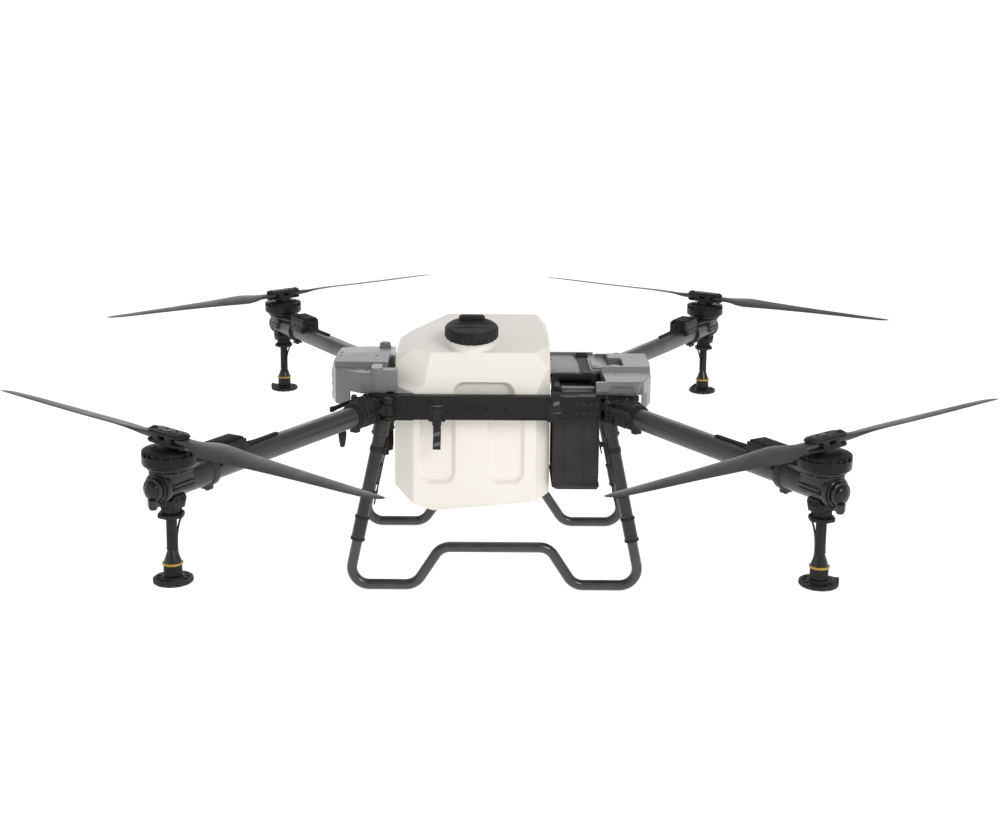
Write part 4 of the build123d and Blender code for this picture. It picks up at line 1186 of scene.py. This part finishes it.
def tank():
    """The moulded tank with its bevels, grip recess, panels and neck."""
    low, high = box_mm("tank")
    front, back, left, right, bottom = low.y, high.y, -250.0, 134.0, low.z
    upright = [(left, 242), (-207, 207), (-155, bottom), (104, 213), (right, 226), (right, 598), (108, 626),
            (-121, 626), (left, 564)]
    lean = [(-120, bottom - 67), (back, bottom - 67), (back, 624), (-162, 581), (front, 486), (front, 203)]
    plan = [(left, -158), (-202, front), (98, front), (right, -168), (right, 100), (104, back),
            (-220, back), (left, 100)]
    center = Vector((-50, -40, 400))
    planes = side_planes(upright, 0, 2) + side_planes(lean, 1, 2) + side_planes(plan, 0, 1)
    planes = outward(planes, center)
    # the top's own corner facets
    planes += [(Vector((left, -110, 560)), Vector((-0.62, -0.52, 0.58)).normalized()),
            (Vector((right, -168, 545)), Vector((0.5, -0.45, 0.62)).normalized())]
    bm = bmesh.new()
    made = bmesh.new()
    bmesh.ops.create_cube(made, size=1)
    corner, size = Vector((left, front, bottom)), Vector((right - left, back - front, 640 - bottom))
    for vert in made.verts:
        vert.co = Vector([(vert.co[k] + 0.5) * size[k] for k in range(3)]) + corner
    add_cut(bm, made, planes)
    neck = neck_frame()
    lathe(bm, [(0, -46), (66, -46), (64, -30), (60.5, -25), (57.5, -21), (56, -16), (55.5, -9),
            (55.5, 17.6), (0, 17.6)], neck, 72)
    box(bm, (-253.5, 0, 491), (21, 90, 12), bevel=2)
    box(bm, (135, 65, 506), (10, 90, 12), bevel=2)
    # drain boss under the sloping bottom
    lathe(bm, rect(0, 188, 24, 215), shift((-90, -30, 0)), 32)

    cutter = bmesh.new()
    # the wider bevel at the nose end, above the frame: it leans back so that its front edge stands upright
    wedge = [(-147, -192, 484), (-145, -147.4, 500), (-60.8, -3.3, 660)]
    loft(cutter, [([(-262, y), (-262, -212), (x, -212)], z) for y, x, z in wedge])
    # arch grip: its walls slope in
    rim = rect(-108, 450, 48, 519, 30, 6)
    floor = rect(-97, 452, 37, 508, 24, 6)
    loft(cutter, [(floor, 178), (floor, 182), (rim, 201)], TO_FRONT)
    for low_x, high_x in ((-188, -98), (-22, 72)):
        rim = rounded([(low_x, 274), (low_x + 18, 256), (high_x - 18, 256), (high_x, 274), (high_x, 450),
                (low_x, 450)], 4, 3)
        floor = rounded([(low_x + 8, 278), (low_x + 22, 264), (high_x - 22, 264), (high_x - 8, 278),
                (high_x - 8, 448), (low_x + 8, 448)], 4, 3)
        loft(cutter, [(floor, 190), (floor, 191.5), (rim, 200.8)], TO_FRONT)
        # the same panels on the far face
        loft(cutter, [(floor, -120), (floor, -121.5), (rim, -130.8)], TO_FRONT)
    # level slots on the tail side
    box(cutter, (138, -30, 350), (12, 14, 150), bevel=4)
    box(cutter, (136, -6, 600), (20, 40, 34), bevel=4)
    mesh = solidify(bm, "tank_shell", 2.2, 4, [cutter], 80)
    put("tank_shell", mesh, "tank", "tank", replaces=("tank",))


def neck_frame():
    """The filler neck's frame in millimetres, at the tank's top, read from the lid's joint and box."""
    axis = Vector(JOINTS["lid_lift"]["axis"]).normalized()
    low, high = box_mm("tank_lid")
    radius = (high.x - low.x) / 2
    x_axis = Vector((1, 0, 0))
    turn = Matrix((x_axis, axis.cross(x_axis), axis)).transposed().to_4x4()
    # the lid's skirt runs from 2 to 26 mm up the axis from the neck's origin
    origin = ((low.x + high.x) / 2, (low.y + high.y) / 2 - 14 * axis.y,
            low.z - radius * axis.y - 2 * axis.z)
    return shift(origin) @ turn


def lid():
    """The screw lid: a knurled skirt, a dished top with two lines, and the vent hump at its back."""
    neck = neck_frame()
    bm = bmesh.new()
    steps = 192

    def knurl(angle, i):
        if 1 <= i <= 5:
            wave = abs(sin(12 * angle)) ** 0.6
            return 0.965 + 0.035 * wave
        return 1

    profile = [(56.6, 1.8), (65.6, 1.8), (67.0, 3.2), (67.2, 12), (67.0, 20.5), (65.8, 23.6), (62.8, 25.8),
            (60.4, 26.2), (59.6, 27.4), (58.4, 28.2), (54, 28.5), (0, 28.8)]
    lathe(bm, profile, neck, steps, knurl)
    lathe(bm, [(56.6, 1.8), (56.6, 17.9), (0, 17.9)], neck, 64)
    for y in (-13, 11):
        box(bm, (0, y, 28.7), (84, 2.2, 1.5), neck, 0.5, 1)
    hump = [(-30, 34), (30, 34), (33, 48), (28, 58.5), (-28, 58.5), (-33, 48)]
    prism(bm, hump, 22, 35.4, neck, 2.2, 3)
    prism(bm, rect(-24, 38, 24, 54, 4), 34.6, 36.4, neck, 0.7)
    put("lid_cap", (bm, 34), "black", "lid", replaces=("tank_lid",))


tank()
lid()


# ---------------------------------------------------------------- battery
def battery():
    """The battery: a ridged case, a lower cap with feet, a shoulder, and a carry handle over a well whose
    darker floor is painted shade.
    """
    low, high = box_mm("battery")
    x0, x1, y0, y1 = low.x, high.x, low.y, high.y
    mid_x, mid_y = (x0 + x1) / 2, (y0 + y1) / 2
    wide, deep = x1 - x0, y1 - y0
    top = high.z - 28
    bar_y = mid_y + 24
    bm = bmesh.new()
    case = rect(x0 + 2, y0 + 2, x1 - 2, y1 - 2, 6)
    prism(bm, case, low.z + 15, top - 6, bevel=0.8)
    for part_x in (-0.24, 0.16):
        for y in (y0 + 2, y1 - 2):
            box(bm, (mid_x + part_x * wide, y, (low.z + top) / 2), (2.0, 2.2, top - low.z - 34), bevel=0.7,
                    steps=1)
    for side in (-1, 1):
        for k in range(7):
            box(bm, (mid_x + side * (wide / 2 - 1.8), mid_y + (k - 3) * 22, (low.z + top) / 2),
                    (2.0, 12, top - low.z - 50), bevel=0.8, steps=1)
    cap = rect(x0, y0, x1, y1, 7)
    inner = rect(x0 + 3, y0 + 3, x1 - 3, y1 - 3, 7)
    loft(bm, [(inner, low.z + 5), (cap, low.z + 7.5), (cap, low.z + 15), (inner, low.z + 19)])
    for side in (-1, 1):
        foot = rect(mid_x + side * 15, y0 + 10, mid_x + side * 50, y1 - 10)
        prism(bm, rounded(foot, 5) if side > 0 else rounded(foot[::-1], 5), low.z, low.z + 7, bevel=1.2)
    # shoulder frame round the well
    for side in (-1, 1):
        box(bm, (mid_x, mid_y + side * (deep / 2 - 5), top - 3), (wide, 10, 10), bevel=2.4)
        box(bm, (mid_x + side * (wide / 2 - 5), mid_y, top - 3), (10, deep, 10), bevel=2.4)
    put("battery_case", bm, "battery", "battery", replaces=("battery",))

    bm = bmesh.new()
    # end blocks that carry the handle, and the connector block at the back
    for side in (-1, 1):
        box(bm, (mid_x + side * (wide / 2 - 10), bar_y, top + 9), (15, 20, 22), bevel=3)
    box(bm, (x0 + 11, mid_y - 8, top + 6), (16, deep - 60, 17), bevel=3)
    box(bm, (mid_x + 6, y1 - 18, top + 4), (wide - 30, 22, 16), bevel=3)
    grip = rect(-9, -8, 9, 8, 5, 5)
    stand = shift((x0 + 3, bar_y, high.z - 8)) @ TO_TAIL
    prism(bm, grip, 0, wide - 6, stand, 1)
    for k in range(9):
        box(bm, (mid_x + (k - 4) * 8, bar_y, high.z - 8.2), (2.6, 19, 16.4), bevel=0.9)
    put("battery_handle", bm, "black", "battery")
    bm = bmesh.new()
    # a dark rubber sheet on the well's floor: painted shade in the recess
    prism(bm, rect(x0 + 8, y0 + 8, x1 - 8, y1 - 8, 4), top - 8, top - 5, bevel=0.4)
    put("well_floor_shade", bm, "rubber", "battery")
    bm = bmesh.new()
    box(bm, (mid_x + 4, y0 + 44, top + 7), (wide - 34, 8, 6), bevel=1.5)
    box(bm, (mid_x + 4, y0 + 48, top), (wide - 40, 5, 14), bevel=1)
    for side in (-1, 1):
        bolt(bm, (mid_x + side * 34, y0 + 44, top + 10), UP, 2.4, 1.2)
    put("contact_bar", bm, "deck", "battery")


def strap_band(name, points, wide, thick, across, body, material="webbing", replaces=()):
    """A flat strap through points; across is the direction of its width."""
    bm = bmesh.new()
    path = smooth_path(points, 5)
    across = Vector(across)
    rings = []
    for i, point in enumerate(path):
        ahead = (path[min(i + 1, len(path) - 1)] - path[max(i - 1, 0)]).normalized()
        up = ahead.cross(across).normalized()
        ring = []
        for u, v in ((-1, -0.6), (-0.96, -1), (0.96, -1), (1, -0.6), (1, 0.6), (0.96, 1), (-0.96, 1),
                (-1, 0.6)):
            ring.append(bm.verts.new(point + across * (u * wide / 2) + up * (v * thick / 2)))
        rings.append(ring)
    add_skin(bm, rings)
    return put(name, to_mesh(bm, name, 50), material, body, replaces=replaces)


battery()


# ---------------------------------------------------------------- covers
def cover_cutters(side):
    """The room over the cross channel and the two fold joints at one end of the frame."""
    cutter = bmesh.new()
    top = box_mm("frame_beams")[1].z + 1
    low = 440.0
    box(cutter, (side * 261, 0, (low + top) / 2), (52, 234, top - low))
    for row in (-1, 1):
        box(cutter, (side * 298, row * 206, (low + top) / 2), (122, 182, top - low))
    return cutter


def add_roofed(bm, outline, profile, low):
    """A block over a convex outline, from low up to a roof of (y, z) points that runs along x."""
    made = bmesh.new()
    xs = [x for x, y in outline]
    section = [(profile[0][0], low), *profile, (profile[-1][0], low)]
    prism(made, section, min(xs), max(xs), TO_TAIL)
    center = Vector((sum(xs) / len(xs), 0, 500))
    add_cut(bm, made, outward(side_planes(outline, 0, 1), center))


def nose_cover():
    """The grey nose cover: a stepped shell with creases, a rib, and the antenna knob on top."""
    low = box_mm("nose_cover")[0]
    plan = [(-268, -205), (-330, -205), (-396, -150), (low.x, -90), (low.x, 135), (-330, 205), (-268, 205)]
    roof = [(-205, 530), (-199, 536), (-142, 538), (-137, 549), (-131, 550), (-15, 549), (190, 521),
            (206, 512)]
    bm = bmesh.new()
    add_roofed(bm, plan, roof, 448)
    # tongue over the frame's corner, beside the tank, with its rib
    prism(bm, rounded([(-241, -205), (-241, -172), (-290, -172), (-290, -205)], 5), 490, 544, bevel=3)
    prism(bm, rounded([(-278, -207), (-278, -150), (-305, -150), (-305, -207)], 9, 5), 490, 549, bevel=7,
            steps=4)
    cutter = cover_cutters(-1)
    # the small slope along the top of the nose's end
    edge = [(low.x - 4, 506), (low.x - 4, 560), (low.x + 12, 560), (low.x, 516)]
    prism(cutter, edge, -220, 220, TO_FRONT)
    # the space inside
    inside = [(-290, -201), (-328, -201), (-391, -148), (low.x + 4, -88), (low.x + 4, 133), (-328, 186),
            (-290, 186)]
    prism(cutter, inside, 436, 506)
    prism(cutter, rect(-292, -130, -400, 60), 500, 534)
    # panels on the nose's end and on the left flank, and the joint line between the two halves
    panel = rect(-120, 462, 70, 502, 8)
    inner = rect(-114, 468, 64, 496, 8)
    end_on = Matrix(((0, 0, -1, 0), (1, 0, 0, 0), (0, 1, 0, 0), (0, 0, 0, 1)))
    loft(cutter, [(inner, 409.6), (inner, 410), (panel, 412.6)], end_on)
    groove = [(-334, 490), (-331, 490), (-309, 533), (-312, 533)]
    prism(cutter, groove, 203, 207, TO_FRONT)
    box(cutter, (-350, 60, 545), (100, 1.8, 12))
    mesh = solidify(bm, "nose_shell", 1.8, 3, [cutter], 40)
    put("nose_shell", mesh, "cover", "airframe", replaces=("nose_cover",))

    bm = bmesh.new()
    knob = [(0, 523), (17, 523), (17, 529), (15.4, 530.6), (14.6, 537), (13, 541), (10, 542.6),
            (5, 543), (0, 543)]
    lathe(bm, knob, shift((-293, 146, 0)), 36, lambda t, i: 1 + 0.03 * cos(12 * t) if i in (4, 5) else 1)
    put("nose_knob", bm, "cover", "airframe")
    bm = bmesh.new()
    for x, y in ((-300, -60), (-300, -112), (-392, -60), (-392, -20)):
        bolt(bm, (x, y, 549.2), UP, 3.0, 1.4)
    for y in (-80, 30):
        bolt(bm, (low.x + 0.6, y, 482), (-1, 0, 0), 3.0, 1.4)
    for x in (-350, -318):
        bolt(bm, (x, -170, 536.6), UP, 2.8, 1.4)
    put("nose_screws", bm, "cover", "airframe")


def tail_cover():
    """The grey tail cover: a low shell with facets, a notch for the port and its knob, and the pale deck."""
    high = box_mm("tail_cover")[1]
    plan = [(268, -222), (345, -222), (361, -205), (386, -130), (high.x, 0), (high.x, 135), (330, 205),
            (268, 205)]
    roof = [(-222, 515), (-216, 521), (-160, 521), (-90, 514), (-50, 523), (110, 523), (190, 504),
            (206, 499)]
    bm = bmesh.new()
    add_roofed(bm, plan, roof, 448)
    prism(bm, rect(243, -222, 275, -203, 3), 486, 520, bevel=2.5)
    cutter = cover_cutters(1)
    # room for the near arm, which folds across this corner
    top = box_mm("frame_beams")[1].z + 1.5
    prism(cutter, [(332, -222), (383, -157), (430, -98), (430, -260), (332, -260)], 440, top)
    inside = [(290, -198), (343, -200), (380, -128), (high.x - 5, 0), (high.x - 5, 132), (328, 196),
            (290, 196)]
    prism(cutter, inside, 436, 494)
    # slanting underside of the left flank, and the slope that rises to its corner
    prism(cutter, [(-226, 480), (-226, 499), (-222.2, 499), (-211, 480)], 238, 340, TO_TAIL)
    prism(cutter, [(336, 484), (364, 521), (372, 521), (372, 484)], 207, 226, TO_FRONT)
    # notch for the port and knob
    prism(cutter, rect(236, -38, 326, 52, 10), 502, 540)
    prism(cutter, rect(236, -38, 293, 142, 8), 502, 540)
    # panels on the flank and on the tail's end
    rim = [(262, 486), (282, 512), (334, 512), (334, 486)]
    inner = [(268, 488), (285, 508), (330, 508), (330, 488)]
    loft(cutter, [(inner, 219), (inner, 219.6), (rim, 222.6)], TO_FRONT)
    rim = rect(-60, 462, 110, 498, 8)
    inner = rect(-54, 468, 104, 492, 8)
    loft(cutter, [(inner, high.x - 2.6), (inner, high.x - 2), (rim, high.x + 0.6)], TO_TAIL)
    put("tail_shell", solidify(bm, "tail_shell", 1.8, 3, [cutter], 40), "cover", "airframe",
            replaces=("tail_cover",))

    bm = bmesh.new()
    prism(bm, rect(139.5, -15, 271, 214.5, 8), 494.2, 500, bevel=1.6)
    box(bm, (205, 213.6, 493), (130, 2.6, 9), bevel=1)
    put("deck_plate", bm, "deck", "airframe")
    bm = bmesh.new()
    # low rim behind the strap
    prism(bm, rect(146, 196, 264, 208, 4), 499.4, 506, bevel=2)
    put("deck_rim", bm, "cover", "airframe")
    bm = bmesh.new()
    # port with its lid, and the knob on its collar
    prism(bm, rect(250, -10, 280, 96, 4), 505, 509.6, bevel=1.6)
    knob = shift((306, -14, 0))
    lathe(bm, [(0, 506), (16.4, 506), (16.8, 508), (16.4, 514), (14.8, 517), (11, 517.8), (0, 518)], knob,
            40, swell=lambda t, i: 1 + 0.035 * cos(10 * t) if i in (2, 3) else 1)
    put("deck_port", bm, "cover", "airframe")
    bm = bmesh.new()
    plate = rect(243, -26, 287, 134, 6)
    prism(bm, plate, 499.6, 506, bevel=2)
    put("port_plate", bm, "deck", "airframe")
    bm = bmesh.new()
    lathe(bm, [(0, 499), (19, 499), (19, 505), (17.6, 506.6), (0, 506.6)], knob, 40)
    put("knob_collar", bm, "rubber", "airframe")
    bm = bmesh.new()
    for x, y in ((150, 0), (150, 140), (262, 140)):
        bolt(bm, (x, y, 499.8), UP, 3.0, 1.6)
    for y in (-40, 120):
        bolt(bm, (high.x - 0.6, y, 480), (1, 0, 0), 3.0, 1.4)
    for x, y in ((300, -100), (352, 60), (300, 150)):
        bolt(bm, (x, y, {-100: 514.6, 60: 522.4, 150: 513.2}[y]), UP, 2.8, 1.4)
    put("tail_screws", bm, "cover", "airframe")


nose_cover()
tail_cover()


# ---------------------------------------------------------------- straps, pump and small parts
def buckles():
    """Two buckle plates on the near beam with screws and tongue, and the webbing through them."""
    low, high = box_mm("frame_beams")
    face, mid_z = low.y, (low.z + high.z) / 2
    plates, screws, pins = bmesh.new(), bmesh.new(), bmesh.new()
    for x in (-143, 146):
        rim = rect(x - 21, mid_z - 33, x + 21, mid_z + 31, 4)
        prism(plates, rim, -face, -face + 3, TO_FRONT, 1)
        for side in (-1, 1):
            box(plates, (x + side * 13, face - 4.4, mid_z), (5.4, 5, 36), bevel=1.2)
            for row in (-1, 1):
                bolt(screws, (x + side * 16, face - 2.8, mid_z + row * 25), (0, -1, 0), 3.0, 1.8)
        rod(pins, (x - 11.5, face - 5, mid_z + 7), (x + 11.5, face - 5, mid_z + 7), 2.2)
        rod(pins, (x - 11.5, face - 5, mid_z - 9), (x + 11.5, face - 5, mid_z - 9), 2.2)
        for k in range(5):
            box(plates, (x, face - 4.4, mid_z - 3 + (k - 2) * 2.4), (15, 3.2, 1.3), bevel=0.4, steps=1)
    put("buckle_plates", plates, "black", "airframe", replaces=("straps",))
    put("buckle_screws", screws, "rubber", "airframe")
    put("buckle_pins", pins, "bolt", "airframe")
    strap_band("strap_tail", [(-143, face - 4, mid_z + 7), (-143, face - 8, mid_z - 6),
            (-143, face - 8.4, mid_z - 28), (-142.4, face - 7.4, mid_z - 60),
            (-143.4, face - 6, mid_z - 102)], 19, 1.8, (1, 0, 0), "airframe")
    strap_band("strap_keeper", [(-154, face - 8.6, mid_z - 36), (-143, face - 10.4, mid_z - 36),
            (-132, face - 8.6, mid_z - 36)], 9, 1.6, (0, 0, 1), "airframe", "rubber")
    strap_band("strap_upper", [(146, face - 4.6, mid_z - 8), (146, face - 8, mid_z + 4),
            (146, face - 6.4, mid_z + 20), (146, face - 1, mid_z + 33), (146, face + 12, mid_z + 40)], 21,
            1.8, (1, 0, 0), "airframe")
    # pale bars across the webbing: stitching on the tail strap, and a painted highlight on the upper strap
    bm = bmesh.new()
    for x, z, y in ((-143, mid_z - 66, face - 8.5), (-143, mid_z - 92, face - 7.6),
            (146, mid_z + 12, face - 9.2)):
        for k in range(4):
            stand = shift((x, y, z + k * 2.3)) @ Matrix.Rotation(radians(-16), 4, "Y")
            box(bm, (0, 0, 0), (15, 0.7, 0.8), stand)
    put("strap_stitches_and_highlight", bm, "deck", "airframe")


def battery_strap():
    """The hold-down strap from the battery's handle over the deck, and its buckle."""
    low, high = box_mm("battery_strap")
    top = high.z - 1.1
    x = (low.x + high.x) / 2
    points = [(x, -97, top), (x, -78, top), (x, -60, top - 1), (x, -40, top - 7), (x, -16, 502.2),
            (x, 40, 501.8), (x, 110, 501.8), (x, 186, 501.8)]
    strap_band("hold_down", points, 26, 2.0, (1, 0, 0), "battery", replaces=("battery_strap",))
    bm = bmesh.new()
    prism(bm, rect(x - 17, 146, x + 17, 188, 4), 502.4, 507.5, bevel=1.4)
    rod(bm, (x - 15, 158, 508), (x + 15, 158, 508), 2.4)
    rod(bm, (x - 15, 176, 508), (x + 15, 176, 508), 2.4)
    put("strap_buckle", bm, "black", "battery")


def cable_end():
    """The tapered black connector that hangs on its lead under the near nose arm."""
    arm = ARM["front_left"]
    bm = bmesh.new()
    lathe(bm, [(0, -80), (3.5, -80), (5.5, -78), (8.5, -60), (9.4, -48), (9.4, -42), (6, -40), (0, -40)],
            shift((80, -34, 0)), 24, swell=lambda t, i: 1 + 0.05 * cos(8 * t) if 2 <= i <= 4 else 1)
    tube(bm, smooth_path([(80, -34, -41), (80, -34, -34), (78, -31, -28), (72, -24, -28), (66, -16, -30)]),
            2.6)
    put("cable_end", bm, "rubber", "arm_front_left", arm)


def pump_details():
    """Cover screws, a filter bowl's ribs and the hose stubs on the pump."""
    low, high = box_mm("pump")
    x, y = (low.x + high.x) / 2, (low.y + high.y) / 2
    bm = bmesh.new()
    for side in (-1, 1):
        for row in (-1, 1):
            for face, out in ((low.x, -1), (high.x, 1)):
                bolt(bm, (face, y + side * 32, high.z - 30 + row * 22), (out, 0, 0), 2.6, 2)
    put("pump_screws", bm, "bolt", "airframe")
    bm = bmesh.new()
    for k in range(16):
        turn = shift((x, y, 0)) @ spin(2 * pi * k / 16)
        box(bm, (19.2, 0, low.z + 44), (1.6, 2.4, 40), turn, 0.5, 1)
    lathe(bm, closed(rect(18.6, high.z - 64, 22.5, high.z - 58)), shift((x, y, 0)), 36)
    hose = [(x, y + 38, high.z - 36), (x, y + 60, high.z - 38), (x + 4, y + 96, high.z - 30),
            (x + 8, y + 130, high.z - 12)]
    tube(bm, smooth_path(hose), 6)
    put("pump_ribs", (bm, 50), "rubber", "airframe")


buckles()
battery_strap()
cable_end()
pump_details()


# ---------------------------------------------------------------- floor
def floor():
    """A pale floor under the skids."""
    bm = bmesh.new()
    bmesh.ops.create_grid(bm, x_segments=1, y_segments=1, size=40)
    mesh = bpy.data.meshes.new("floor")
    bm.to_mesh(mesh)
    bm.free()
    mesh.materials.append(MAT["floor"])
    ground = bpy.data.objects.new("floor", mesh)
    scene.collection.objects.link(ground)


floor()
